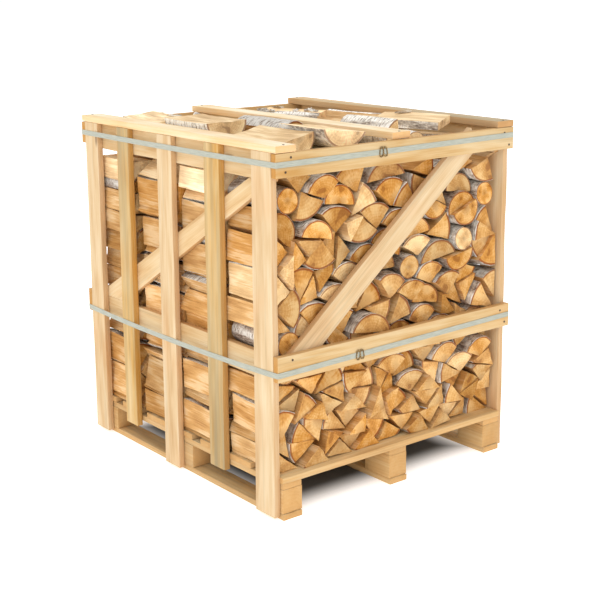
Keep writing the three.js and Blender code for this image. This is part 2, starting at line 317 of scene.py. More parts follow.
@dataclass(frozen=True)
class SawnLogEnd(LogFinish):
    """A sawn birch end: tan, with faint rings and rays, a brown heart, checks and a bark line."""

    ring_count: float = 8.0  # real rings are finer, drawn coarser so that they show

    def build(self) -> bpy.types.Material:
        """Make the end-grain material."""
        material, tree, shader = self.start()
        section = add_node(tree, "Attribute", attribute_name="section").outputs["Vector"]
        tone = add_node(tree, "Attribute", attribute_name="tone").outputs["Vector"]
        own = add_node(tree, "SeparateXYZ", {"Vector": tone})
        place = add_node(tree, "SeparateXYZ", {"Vector": section})
        flat = add_node(tree, "CombineXYZ", {"X": place.outputs["X"], "Y": place.outputs["Y"],
                                             "Z": own.outputs["Z"]}).outputs["Vector"]
        pith = add_node(tree, "CombineXYZ", {"X": place.outputs["X"],
                                             "Y": place.outputs["Y"]}).outputs["Vector"]
        radius = add_node(tree, "VectorMath", {0: pith}, operation="LENGTH").outputs["Value"]
        ray_way = add_node(tree, "VectorMath", {0: pith}, operation="NORMALIZE").outputs["Vector"]
        ray_place = add_node(tree, "VectorMath", {0: flat, 1: (0.35, 0.35, 1.0)},
                             operation="MULTIPLY").outputs["Vector"]
        ray_spot = add_node(tree, "VectorMath", {0: ray_way, 1: ray_place},
                            operation="ADD").outputs["Vector"]
        rays = stretched_noise(tree, ray_spot, (11.0, 11.0, 1.0), 3.0, 0.6)
        cloud = stretched_noise(tree, flat, (1.5, 1.5, 1.0), 1.0)
        speck = stretched_noise(tree, flat, (12.0, 12.0, 1.0), 3.0, 0.6)
        bent = add_node(tree, "Math", {0: cloud, 1: 0.5, 2: radius},
                        operation="MULTIPLY_ADD").outputs[0]
        phase = add_node(tree, "Math", {0: bent, 1: 2 * math.pi * self.ring_count},
                         operation="MULTIPLY").outputs[0]
        wave = add_node(tree, "Math", {0: phase}, operation="SINE").outputs[0]
        total = add_node(tree, "Math", {0: wave, 1: 0.035, 2: cloud},
                         operation="MULTIPLY_ADD").outputs[0]
        total = add_node(tree, "Math", {0: rays, 1: 0.50, 2: total},
                         operation="MULTIPLY_ADD").outputs[0]
        total = add_node(tree, "Math", {0: speck, 1: 0.20, 2: total},
                         operation="MULTIPLY_ADD").outputs[0]
        wood = add_node(tree, "ValToRGB", {"Fac": total},
                        ramp=[(0.56, "#ad753a"), (0.80, "#ce9853"), (1.04, "#e3b97c")])
        # The heart is browner in some logs than in others.
        heart_edge = add_node(tree, "Math", {0: cloud, 1: 2.0, 2: -0.62},
                              operation="MULTIPLY_ADD").outputs[0]
        heart = add_node(tree, "MapRange", {"Value": radius, "From Min": heart_edge, "From Max": 0.0,
                                            "To Min": 0.0, "To Max": 0.6})
        hearted = add_node(tree, "Mix", {0: heart.outputs[0], 6: wood.outputs["Color"],
                                         7: srgb("#94602f")}, data_type="RGBA")
        # Drying checks: thin dark cracks along the rays.
        check = add_node(tree, "MapRange", {"Value": rays, "From Min": 0.30, "From Max": 0.24,
                                            "To Min": 0.0, "To Max": 0.6})
        checked = add_node(tree, "Mix", {0: check.outputs[0], 6: hearted.outputs[2],
                                         7: srgb("#6a4220")}, data_type="RGBA")
        # Inner bark is red-brown, and the papery outer bark is a paler line round it.
        rim = add_node(tree, "MapRange", {"Value": radius, "From Min": 0.905, "From Max": 0.935,
                                          "To Min": 0.0, "To Max": 0.9})
        rimmed = add_node(tree, "Mix", {0: rim.outputs[0], 6: checked.outputs[2],
                                        7: srgb("#8c4c24")}, data_type="RGBA")
        skin = add_node(tree, "MapRange", {"Value": radius, "From Min": 0.965, "From Max": 0.985,
                                           "To Min": 0.0, "To Max": 0.75})
        skinned = add_node(tree, "Mix", {0: skin.outputs[0], 6: rimmed.outputs[2],
                                         7: srgb("#a98362")}, data_type="RGBA")
        self.colour(tree, shader, own, skinned.outputs[2])
        saw = stretched_noise(tree, flat, (3.0, 30.0, 1.0), 2.0)
        relief = add_node(tree, "Math", {0: rays, 1: saw}, operation="ADD").outputs[0]
        self.emboss(tree, shader, relief, 1.6)
        return material


@dataclass(frozen=True)
class SplitFace(LogFinish):
    """A riven birch face: tan to orange, torn into fibres that run the log's length."""

    def build(self) -> bpy.types.Material:
        """Make the split-face material."""
        material, tree, shader = self.start()
        own, place = self.seeded_place(tree)
        fibre = stretched_noise(tree, place, (16.0, 16.0, 9.0), 5.0, 0.6)
        broad = stretched_noise(tree, place, (2.2, 2.2, 7.0), 2.0)
        both = add_node(tree, "Math", {0: fibre, 1: 0.7, 2: broad},
                        operation="MULTIPLY_ADD").outputs[0]
        wood = add_node(tree, "ValToRGB", {"Fac": both},
                        ramp=[(0.62, "#b8844a"), (0.84, "#d3a163"), (1.04, "#e6c190")])
        torn = add_node(tree, "MapRange", {"Value": fibre, "From Min": 0.33, "From Max": 0.25,
                                           "To Min": 0.0, "To Max": 0.45})
        shaded = add_node(tree, "Mix", {0: torn.outputs[0], 6: wood.outputs["Color"],
                                        7: srgb("#7c4c24")}, data_type="RGBA")
        self.colour(tree, shader, own, shaded.outputs[2])
        self.emboss(tree, shader, fibre, 5.0)
        return material


@dataclass(frozen=True)
class BirchBark(LogFinish):
    """Birch bark: grey-brown and fissured, with white papery sheets and dark cross dashes."""

    def build(self) -> bpy.types.Material:
        """Make the bark material."""
        material, tree, shader = self.start()
        own, place = self.seeded_place(tree)
        dash = stretched_noise(tree, place, (3.0, 3.0, 210.0), 3.0)
        paper = add_node(tree, "ValToRGB", {"Fac": dash},
                         ramp=[(0.33, "#7a6656"), (0.40, "#c8bcae"), (0.56, "#efe9df")])
        crust = stretched_noise(tree, place, (11.0, 11.0, 60.0), 5.0, 0.65)
        rough = add_node(tree, "ValToRGB", {"Fac": crust},
                         ramp=[(0.32, "#57443a"), (0.48, "#978373"), (0.62, "#c6b8a6")])
        patch = stretched_noise(tree, place, (1.2, 1.2, 6.0), 2.0)
        share = add_node(tree, "MapRange", {"Value": patch, "From Min": 0.42, "From Max": 0.53,
                                            "To Min": 0.0, "To Max": 1.0})
        bark = add_node(tree, "Mix", {0: share.outputs[0], 6: rough.outputs["Color"],
                                      7: paper.outputs["Color"]}, data_type="RGBA")
        self.colour(tree, shader, own, bark.outputs[2])
        self.emboss(tree, shader, crust, 6.0)
        return material


@dataclass(frozen=True)
class PolyesterStrap:
    """Corded polyester strapping: grey-green, a soft sheen, yarns that run its length."""

    name: str = "polyester_strap"

    def build(self) -> bpy.types.Material:
        """Make the strap material."""
        material, tree, shader = new_material(self.name)
        run = add_node(tree, "Attribute", attribute_name="run").outputs["Vector"]
        yarn = stretched_noise(tree, run, (25.0, 700.0, 1.0), 2.0)
        tint = add_node(tree, "ValToRGB", {"Fac": yarn},
                        ramp=[(0.30, "#93978a"), (0.50, "#a8aa9c"), (0.70, "#b8b9aa")])
        tree.links.new(tint.outputs["Color"], shader.inputs["Base Color"])
        shader.inputs["Roughness"].default_value = 0.5
        bump = add_node(tree, "Bump", {"Height": yarn, "Strength": 0.4, "Distance": 0.0005})
        tree.links.new(bump.outputs["Normal"], shader.inputs["Normal"])
        return material


@dataclass(frozen=True)
class SteelWire:
    """Steel that has begun to brown: zinc-coated on the buckles, bare on the nails."""

    name: str
    clean: str
    rust: str

    def build(self) -> bpy.types.Material:
        """Make the steel material."""
        material, tree, shader = new_material(self.name)
        place = add_node(tree, "TexCoord").outputs["Object"]
        spots = stretched_noise(tree, place, (260.0, 260.0, 260.0), 3.0)
        tint = add_node(tree, "ValToRGB", {"Fac": spots}, ramp=[(0.42, self.rust), (0.58, self.clean)])
        tree.links.new(tint.outputs["Color"], shader.inputs["Base Color"])
        shader.inputs["Metallic"].default_value = 0.6
        shader.inputs["Roughness"].default_value = 0.45
        bump = add_node(tree, "Bump", {"Height": spots, "Strength": 0.3, "Distance": 0.0003})
        tree.links.new(bump.outputs["Normal"], shader.inputs["Normal"])
        return material


# ---------------------------------------------------------------- modelling helpers


def deselect() -> None:
    """Clear the selection, so that an operator acts on its own piece only."""
    if bpy.context.mode != "OBJECT":
        bpy.ops.object.mode_set(mode="OBJECT")
    bpy.ops.object.select_all(action="DESELECT")


def take(obj: bpy.types.Object) -> None:
    """Make one object the only one selected, and the active one."""
    deselect()
    obj.select_set(True)
    bpy.context.view_layer.objects.active = obj


def active() -> bpy.types.Object:
    """Return the object that an operator has just added."""
    return bpy.context.view_layer.objects.active


def settle(obj: bpy.types.Object, name: str) -> bpy.types.Object:
    """Apply an object's place, turn and scale to its mesh and name it.

    Args:
        obj: The object to settle.
        name: Its name from now on.

    Returns:
        The same object.
    """
    take(obj)
    bpy.ops.object.transform_apply(location=True, rotation=True, scale=True)
    obj.name = name
    obj.data.name = name
    return obj


def select_by(mesh: bmesh.types.BMesh, edges: Callable[[bmesh.types.BMEdge], bool]) -> None:
    """Select only the edges that pass a test, in edge mode.

    Args:
        mesh: The edit-mode mesh.
        edges: The test.
    """
    for face in mesh.faces:
        face.select_set(False)
    for vert in mesh.verts:
        vert.select_set(False)
    for edge in mesh.edges:
        edge.select_set(edges(edge))


def join(parts: Sequence[bpy.types.Object], name: str) -> bpy.types.Object:
    """Join objects into one piece.

    Args:
        parts: The objects; the first one takes in the rest.
        name: The piece's name.

    Returns:
        The joined object.
    """
    deselect()
    for part in parts:
        part.select_set(True)
    bpy.context.view_layer.objects.active = parts[0]
    if len(parts) > 1:
        bpy.ops.object.join()
    piece = active()
    piece.name = name
    piece.data.name = name
    return piece


def write_vectors(mesh: bpy.types.Mesh, name: str, values: np.ndarray) -> None:
    """Store one vector for each vertex under an attribute's name.

    Args:
        mesh: The mesh to write to.
        name: The attribute's name.
        values: An array of three numbers for each vertex.
    """
    layer = mesh.attributes.get(name) or mesh.attributes.new(name, "FLOAT_VECTOR", "POINT")
    layer.data.foreach_set("vector", np.asarray(values, np.float32).ravel())


def vertices_of(mesh: bpy.types.Mesh) -> np.ndarray:
    """Return a mesh's vertices as an array of rows."""
    values = np.empty(len(mesh.vertices) * 3, np.float32)
    mesh.vertices.foreach_get("co", values)
    return values.reshape(-1, 3).astype(float)


def smooth_noise(places: np.ndarray, seed: int) -> np.ndarray:
    """Give a smooth pseudo-random value for each place.

    Args:
        places: One row of coordinates for each value.
        seed: Which of the many fields to read.

    Returns:
        Values between about -1 and 1.
    """
    rng = np.random.default_rng(seed)
    total = np.zeros(len(places))
    for octave in range(4):
        turn = rng.normal(size=(places.shape[1],)) * (1.6 ** octave)
        total += np.sin(places @ turn + rng.uniform(0, 2 * math.pi)) / (1.3 ** octave)
    return total / 2.2


def hand_over(piece: bpy.types.Object, slot: str, *nodes: str) -> None:
    """Ride a finished piece on the crate, hide the plain solids that it replaces, and log its name and face
    count.

    Args:
        piece: The finished piece.
        slot: Not used.
        *nodes: The plain solids that it replaces.
    """
    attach(piece, "root")
    if nodes:
        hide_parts(*nodes)
    LOG.info("%-28s %6d faces", piece.name, len(piece.data.polygons))


# ---------------------------------------------------------------- boards


def corners(node: str) -> np.ndarray:
    """Return the corner points of a node's plain solid, each once."""
    return np.unique(np.round(vertices_of(bpy.data.objects[node].data), 5), axis=0)


class Run(Enum):
    """Which way a board's length runs."""

    X = 0
    Y = 1
    Z = 2


@dataclass(frozen=True)
class Board:
    """One sawn board, cut to a node's own box and then made uneven as sawn timber is.

    Attributes:
        node: The node whose box it fills.
        run: Which way its length runs.
        seed: Picks its grain and its unevenness.
        lightness: How light it is beside the others.
        weathering: How far it has greyed, at its low end and at its high end.
        saturation: How strong its colour is.
        wane: How deep its bark-side edge is missing, at most.
        cuts: How many rings of vertices shape it.
    """

    node: str
    run: Run
    seed: int
    lightness: float = 1.0
    weathering: tuple[float, float] = (0.0, 0.0)
    saturation: float = 1.0
    wane: float = 0.0
    cuts: int = 14

    def blank(self) -> tuple[Vector, Vector]:
        """Return the lowest and highest corner of the straight board, before it is fitted."""
        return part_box(self.node)

    def fit(self, board: bpy.types.Object, low: Vector, high: Vector) -> None:
        """Move the finished board to its place; a straight board is in place already."""

    def cut(self, material: bpy.types.Material) -> bpy.types.Object:
        """Model the board.

        Args:
            material: Its finish.

        Returns:
            The finished board.
        """
        low, high = self.blank()
        size = high - low
        deselect()
        bpy.ops.mesh.primitive_cube_add(size=1, location=(low + high) / 2, scale=size)
        board = settle(active(), self.node + "_board")
        along = self.run.value
        bpy.ops.object.mode_set(mode="EDIT")
        mesh = bmesh.from_edit_mesh(board.data)
        select_by(mesh, lambda e: abs((e.verts[0].co - e.verts[1].co)[along]) > size[along] * 0.9)
        bpy.ops.mesh.subdivide(number_cuts=self.cuts)
        bpy.ops.object.mode_set(mode="OBJECT")
        self.make_uneven(board, low, high)
        bevel = board.modifiers.new("arris", "BEVEL")
        bevel.width = 1.4 * MM
        bevel.segments = 2
        bevel.limit_method = "ANGLE"
        bevel.angle_limit = math.radians(40)
        bpy.ops.object.modifier_apply(modifier=bevel.name)
        bpy.ops.object.shade_smooth_by_angle(angle=math.radians(30))
        self.mark_grain(board, low, high)
        self.fit(board, low, high)
        board.data.materials.append(material)
        return board

    def axes(self, low: Vector, high: Vector) -> tuple[int, int, int]:
        """Return the axes along, across and through the board."""
        along = self.run.value
        others = sorted((a for a in range(3) if a != along), key=lambda a: low[a] - high[a])
        return along, others[0], others[1]

    def make_uneven(self, board: bpy.types.Object, low: Vector, high: Vector) -> None:
        """Let the board's edges wander, without leaving its own box."""
        along, across, through = self.axes(low, high)
        co = vertices_of(board.data)
        share = (co[:, along] - low[along]) / (high[along] - low[along])
        middle = (low + high) / 2
        for axis, reach, field_seed in ((across, 2.2 * MM, 1), (through, 0.6 * MM, 2)):
            side = np.sign(co[:, axis] - middle[axis])
            places = np.c_[co[:, along] * 11.0, side * 1.7]
            shift = (smooth_noise(places, self.seed * 7 + field_seed) - 1.0) * 0.5 * reach
            co[:, axis] += side * shift
        if self.wane:
            side = 1.0 if self.seed % 2 else -1.0
            edge = np.sign(co[:, across] - middle[across]) == side
            bite = np.clip(smooth_noise(np.c_[share * 5.0, share], self.seed + 50) + 0.4, 0, 1)
            bite *= np.where(co[:, through] > middle[through], 1.0, 0.45)
            co[edge, across] -= side * (self.wane * bite)[edge]
        board.data.vertices.foreach_set("co", co.astype(np.float32).ravel())
        board.data.update()

    def mark_grain(self, board: bpy.types.Object, low: Vector, high: Vector) -> None:
        """Write each vertex's place in the board, its tone, and which faces are sawn edges."""
        along, across, through = self.axes(low, high)
        rng = np.random.default_rng(self.seed + 900)
        co = vertices_of(board.data)
        middle = np.array((low + high) / 2)
        heart = np.array([rng.uniform(2, 40), rng.uniform(-0.03, 0.03), rng.uniform(0.02, 0.08)])
        write_vectors(board.data, "grain", (co - middle)[:, [along, across, through]] + heart)
        share = (co[:, along] - low[along]) / (high[along] - low[along])
        aged = self.weathering[0] + (self.weathering[1] - self.weathering[0]) * share
        same = np.ones(len(co))
        write_vectors(board.data, "tone", np.c_[same * self.lightness, aged, same * self.saturation])
        edge = board.data.attributes.new("edge", "FLOAT", "FACE")
        for face in board.data.polygons:
            slope = abs(face.normal[through])
            end = abs(face.normal[along]) > 0.8
            edge.data[face.index].value = 0.75 if end else 0.42 * (slope < 0.5)


@dataclass(frozen=True)
class Brace(Board):
    """A board that is nailed on at a slant, so that its node's outline leans."""

    def outline(self) -> tuple[np.ndarray, int]:
        """Return the outline's four corners as two long sides, and the axis through it.

        Returns:
            An array of side, then end, then place; and the axis that the board is thin in.
        """
        points = corners(self.node)
        through = 1 if self.run is Run.X else 0
        flat = np.unique(points[:, [a for a in range(3) if a != through]], axis=0)
        spread = flat - flat.mean(0)
        order = np.argsort(np.arctan2(spread[:, 1], spread[:, 0]))
        ring = flat[order]
        sides = np.roll(ring, -1, 0) - ring
        longest = sides[np.hypot(*sides.T).argmax()]
        way = longest / np.hypot(*longest)
        if way[0] < 0:
            way = -way
        left = spread @ np.array([-way[1], way[0]])
        ends = spread @ way
        lower = flat[left < 0][np.argsort(ends[left < 0])]
        upper = flat[left > 0][np.argsort(ends[left > 0])]
        return np.array([lower, upper]), through

    def blank(self) -> tuple[Vector, Vector]:
        """Return a straight board of the outline's mean length and width, round the origin."""
        sides, through = self.outline()
        low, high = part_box(self.node)
        length = np.hypot(*(sides[:, 1] - sides[:, 0]).mean(0))
        way = (sides[:, 1] - sides[:, 0]).mean(0) / length
        gap = (sides[1] - sides[0]).mean(0)
        width = abs(gap @ np.array([-way[1], way[0]]))
        half = Vector((length / 2, length / 2, width / 2))
        half[through] = (high[through] - low[through]) / 2
        centre = Vector((0, 0, 0))
        centre[through] = (high[through] + low[through]) / 2
        return centre - half, centre + half

    def fit(self, board: bpy.types.Object, low: Vector, high: Vector) -> None:
        """Lay the straight board over the slanting outline."""
        sides, through = self.outline()
        along = self.run.value
        co = vertices_of(board.data)
        s = ((co[:, along] - low[along]) / (high[along] - low[along]))[:, None]
        t = ((co[:, 2] - low[2]) / (high[2] - low[2]))[:, None]
        under = sides[0, 0] * (1 - s) + sides[0, 1] * s
        over = sides[1, 0] * (1 - s) + sides[1, 1] * s
        co[:, [a for a in range(3) if a != through]] = under * (1 - t) + over * t
        board.data.vertices.foreach_set("co", co.astype(np.float32).ravel())
        board.data.update()


@dataclass
class Timber:
    """A group of boards that share a finish and a material slot."""

    finish: SawnBoard
    slot: str
    boards: list[Board]

    def build(self) -> None:
        """Cut every board and hand it over."""
        material = self.finish.build()
        for board in self.boards:
            hand_over(board.cut(material), self.slot, board.node)


def pallet_boards() -> list[Board]:
    """List the pallet's timbers."""
    rng = np.random.default_rng(21)
    names = [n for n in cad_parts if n.startswith(("skid", "bearer", "deck", "block"))]
    boards = []
    for index, name in enumerate(sorted(names)):
        run = Run.X if name.startswith("deck") else Run.Y
        cuts = 4 if name.startswith("block") else 12
        grey = rng.uniform(0.0, 0.35)
        boards.append(Board(name, run, 100 + index, lightness=rng.uniform(0.86, 0.99),
                            weathering=(grey, grey), cuts=cuts))
    return boards


def crate_boards() -> list[Board]:
    """List the crate's slats, rails, braces and top boards."""
    rng = np.random.default_rng(33)
    places = ("front_corner", "front_infill", "centre", "back_infill", "back_corner")
    boards: list[Board] = []
    for side in ("left", "right"):
        for index, place in enumerate(places):
            infill = place.endswith("infill")
            aged = {"front_infill": (0.55, 0.16), "back_infill": (0.14, 0.36)}.get(place, (0.04, 0.0))
            boards.append(Board(
                f"slat_{side}_{place}", Run.Z, 200 + index + 10 * (side == "right"),
                lightness=rng.uniform(0.86, 0.90) if infill else rng.uniform(0.90, 0.94),
                saturation=1.18 if infill else 0.94, weathering=aged,
                wane=(7 * MM if place == "front_infill" else 2.5 * MM), cuts=20))
        for level in ("top", "mid"):
            boards.append(Board(f"rail_{side}_{level}", Run.Y, 240 + len(boards),
                                lightness=rng.uniform(0.88, 0.96)))
        boards.append(Brace(f"brace_{side}", Run.Y, 250 + len(boards), lightness=0.97, wane=2 * MM))
    for side in ("front", "back"):
        for level in ("top", "mid"):
            boards.append(Board(f"rail_{side}_{level}", Run.X, 260 + len(boards),
                                lightness=rng.uniform(0.86, 0.90), saturation=1.08, cuts=20))
        boards.append(Brace(f"brace_{side}", Run.X, 270 + len(boards), lightness=0.93,
                            weathering=(0.12, 0.12), saturation=0.95, wane=3 * MM))
    return boards


# ---------------------------------------------------------------- split logs


class Cut(Enum):
    """How a birch round was split."""

    HALF = "half"
    THIRD = "third"
    QUARTER = "quarter"
    WEDGE = "wedge"
    SLAB = "slab"
    CORE = "core"
    ROUND = "round"
    BILLET = "billet"
    PLANK = "plank"


@dataclass(frozen=True)
class SplitPlan:
    """Sizes for one way of splitting: the round's radius and the planes that cut it.

    Attributes:
        cut: How it is split.
        radius_mm: The round's smallest and largest radius.
        opening_deg: The angle between its two split faces.
        offset_mm: How far a split face passes from the heart.
        share: How many masters are made this way.
        stacked: Whether it goes into the rows, and not only on top.
    """

    cut: Cut
    radius_mm: tuple[float, float]
    opening_deg: tuple[float, float] = (0, 0)
    offset_mm: tuple[float, float] = (0, 0)
    share: int = 1
    stacked: bool = True


SPLIT_PLANS = (
    SplitPlan(Cut.HALF, (58, 76), offset_mm=(-9, 9), share=7),
    SplitPlan(Cut.QUARTER, (84, 110), opening_deg=(70, 98), offset_mm=(-5, 5), share=7),
    SplitPlan(Cut.THIRD, (68, 88), opening_deg=(105, 138), offset_mm=(-5, 5), share=5),
    SplitPlan(Cut.WEDGE, (96, 122), opening_deg=(40, 58), offset_mm=(-5, 5), share=4),
    SplitPlan(Cut.SLAB, (78, 96), offset_mm=(12, 34), share=3),
    SplitPlan(Cut.CORE, (78, 94), opening_deg=(80, 96), offset_mm=(46, 62), share=4),
    SplitPlan(Cut.ROUND, (34, 44), share=1),
    SplitPlan(Cut.BILLET, (47, 50), share=1, stacked=False),
    SplitPlan(Cut.PLANK, (64, 74), offset_mm=(-16, -13), share=2, stacked=False),
)


@dataclass
class SplitLog:
    """One master log, lying along Y with its middle at the origin.

    Attributes:
        plan: How it was split.
        seed: Picks its sizes and unevenness.
        length: Its length.
        sides: Corners of the round that it is cut from.
        steps: How many lengths it is drawn out in.
    """

    plan: SplitPlan
    seed: int
    length: float = 0.246
    sides: int = 26
    steps: int = 6

    def build(self, finishes: Sequence[bpy.types.Material]) -> bpy.types.Object:
        """Model the log from a sawn disc drawn out along its length.

        Args:
            finishes: Sawn end, split face and bark.

        Returns:
            The master, with "section" written on it.
        """
        rng = np.random.default_rng(self.seed)
        radius = rng.uniform(*self.plan.radius_mm) * MM
        deselect()
        bpy.ops.mesh.primitive_circle_add(vertices=self.sides, radius=1.0, fill_type="NGON")
        log = active()
        bpy.ops.object.mode_set(mode="EDIT")
        for normal, offset in self.planes(rng, radius):
            bpy.ops.mesh.select_all(action="SELECT")
            bpy.ops.mesh.bisect(plane_co=normal * offset, plane_no=normal, clear_inner=True)
        mesh = bmesh.from_edit_mesh(log.data)
        select_by(mesh, lambda e: e.calc_length() > 0.45)
        bpy.ops.mesh.subdivide(number_cuts=5)
        bpy.ops.object.mode_set(mode="OBJECT")
        self.shape_disc(log, radius, rng)
        self.draw_out(log)
        self.roughen(log, radius, rng)
        self.round_ends(log)
        self.dress(log, finishes)
        return log

    def planes(self, rng: np.random.Generator, radius: float) -> list[tuple[Vector, float]]:
        """Return each splitting plane as a normal and a distance from the heart.

        Args:
            rng: Draws the plane's angles.
            radius: The round's radius.

        Returns:
            Planes in the disc's own scale, where the bark is at one.
        """
        start = rng.uniform(0, 2 * math.pi)
        offset = rng.uniform(*self.plan.offset_mm) * MM / radius
        opening = math.radians(rng.uniform(*self.plan.opening_deg))

        def facing(angle: float) -> Vector:
            """Return a direction across the log."""
            return Vector((math.cos(angle), math.sin(angle), 0))

        if self.plan.cut in (Cut.HALF, Cut.SLAB):
            return [(facing(start), offset)]
        if self.plan.cut is Cut.PLANK:
            return [(facing(start), offset), (facing(start + math.pi), offset)]
        sides = [(facing(start + math.pi / 2), offset), (facing(start + opening - math.pi / 2), 0.0)]
        if self.plan.cut in (Cut.THIRD, Cut.QUARTER, Cut.WEDGE):
            return sides
        if self.plan.cut is Cut.CORE:
            return [(sides[0][0], 0.03), sides[1],
                    (facing(start + opening / 2 + rng.uniform(-0.3, 0.3) + math.pi), -offset)]
        return []

    def shape_disc(self, log: bpy.types.Object, radius: float, rng: np.random.Generator) -> None:
        """Stand the disc across Y at its real size, and let its outline wander.

        Args:
            log: The cut disc.
            radius: The round's radius.
            rng: Draws the unevenness.
        """
        co = vertices_of(log.data)
        flat = co[:, :2]
        write_vectors(log.data, "section", np.c_[flat, np.zeros(len(co))])
        seed = int(rng.integers(1 << 30))
        reach = np.hypot(flat[:, 0], flat[:, 1])
        lobes = 1 + 0.035 * smooth_noise(flat * 1.6, seed) * reach
        shape = flat * lobes[:, None] * radius
        split = reach < 0.985
        inward = -(flat - flat.mean(0))
        inward /= np.maximum(np.hypot(inward[:, 0], inward[:, 1]), 1e-6)[:, None]
        torn = 2.2 * MM * smooth_noise(flat * 6.5, seed + 1)
        shape[split] += (inward * torn[:, None])[split]
        upright = np.c_[shape[:, 0], np.full(len(co), -self.length / 2), shape[:, 1]]
        log.data.vertices.foreach_set("co", upright.astype(np.float32).ravel())
        log.data.update()

    def draw_out(self, log: bpy.types.Object) -> None:
        """Extrude the disc along the log's length in equal steps."""
        take(log)
        bpy.ops.object.mode_set(mode="EDIT")
        bpy.ops.mesh.select_all(action="SELECT")
        for _ in range(self.steps):
            bpy.ops.mesh.extrude_region_move(
                TRANSFORM_OT_translate={"value": (0, self.length / self.steps, 0)})
        bpy.ops.mesh.select_all(action="SELECT")
        bpy.ops.mesh.normals_make_consistent(inside=False)
        bpy.ops.object.mode_set(mode="OBJECT")

    def roughen(self, log: bpy.types.Object, radius: float, rng: np.random.Generator) -> None:
        """Bend, taper and roughen the log, and saw its ends a little askew.

        Args:
            log: The drawn-out log.
            radius: The round's radius.
            rng: Draws the unevenness.
        """
        mesh = log.data
        co = vertices_of(mesh)
        across = co[:, [0, 2]] / radius
        section = np.empty(len(co) * 3, np.float32)
        mesh.attributes["section"].data.foreach_get("vector", section)
        section = section.reshape(-1, 3)
        section[:, 2] = co[:, 1]
        write_vectors(mesh, "section", section)
        centre = co.mean(0)
        seed = int(rng.integers(1 << 30))
        swell = smooth_noise(np.c_[across * 2.2, co[:, 1] * 16.0], seed)
        crust = smooth_noise(np.c_[across * 7.0, co[:, 1] * 40.0], seed + 1)
        bark = np.hypot(section[:, 0], section[:, 1]) > 0.985
        outward = (co - centre) * np.array([1, 0, 1])
        outward /= np.maximum(np.linalg.norm(outward, axis=1), 1e-6)[:, None]
        co += outward * ((1.3 * swell + np.where(bark, 1.1, 0.5) * crust - 1.2) * MM)[:, None]
        taper = 1 + rng.uniform(-0.06, 0.06) * co[:, 1] / self.length
        bend = rng.uniform(-3.5, 3.5, 2) * MM
        lean = 1 - (2 * co[:, 1] / self.length) ** 2
        skew = rng.uniform(-0.07, 0.07, 2)
        end = np.abs(co[:, 1]) > self.length * 0.49
        askew = skew[0] * (co[:, 0] - centre[0]) + skew[1] * (co[:, 2] - centre[2])
        co[:, 0] = co[:, 0] * taper + bend[0] * lean
        co[:, 2] = co[:, 2] * taper + bend[1] * lean
        co[end, 1] += askew[end]
        co[:, [0, 2]] -= co[:, [0, 2]].mean(0)
        mesh.vertices.foreach_set("co", co.astype(np.float32).ravel())
        mesh.update()

    def round_ends(self, log: bpy.types.Object) -> None:
        """Take the sharpness off the rims of both sawn ends."""
        take(log)
        limit = self.length * 0.44
        bpy.ops.object.mode_set(mode="EDIT")
        mesh = bmesh.from_edit_mesh(log.data)
        select_by(mesh, lambda e: all(abs(v.co.y) > limit for v in e.verts)
                  and any(len(f.verts) > 4 for f in e.link_faces))
        bpy.ops.mesh.bevel(offset=1.6 * MM, segments=1, affect="EDGES")
        bpy.ops.object.mode_set(mode="OBJECT")
        bpy.ops.object.shade_smooth_by_angle(angle=math.radians(38))

    def dress(self, log: bpy.types.Object, finishes: Sequence[bpy.types.Material]) -> None:
        """Give each face the sawn, split or bark finish that its place calls for."""
        mesh = log.data
        for finish in finishes:
            mesh.materials.append(finish)
        section = np.empty(len(mesh.vertices) * 3, np.float32)
        mesh.attributes["section"].data.foreach_get("vector", section)
        reach = np.hypot(*section.reshape(-1, 3)[:, :2].T)
        for face in mesh.polygons:
            if abs(face.normal.y) > 0.85:
                face.material_index = 0
            else:
                face.material_index = 2 if min(reach[v] for v in face.vertices) > 0.975 else 1


# ---------------------------------------------------------------- stacking


def convex_ring(points: np.ndarray) -> np.ndarray:
    """Return the convex hull of flat points, in order."""
    order = sorted(map(tuple, points))

    def half(run: Iterable[tuple[float, float]]) -> list[tuple[float, float]]:
        """Return one side of the hull, along points in the order given."""
        chain: list[tuple[float, float]] = []
        for p in run:
            while len(chain) > 1:
                (ax, ay), (bx, by) = chain[-2], chain[-1]
                if (bx - ax) * (p[1] - ay) - (by - ay) * (p[0] - ax) > 0:
                    break
                chain.pop()
            chain.append(p)
        return chain

    lower = half(order)
    upper = half(reversed(order))
    return np.array(lower[:-1] + upper[:-1])


NO_FIT = 1e6  # the score of a place that has no room


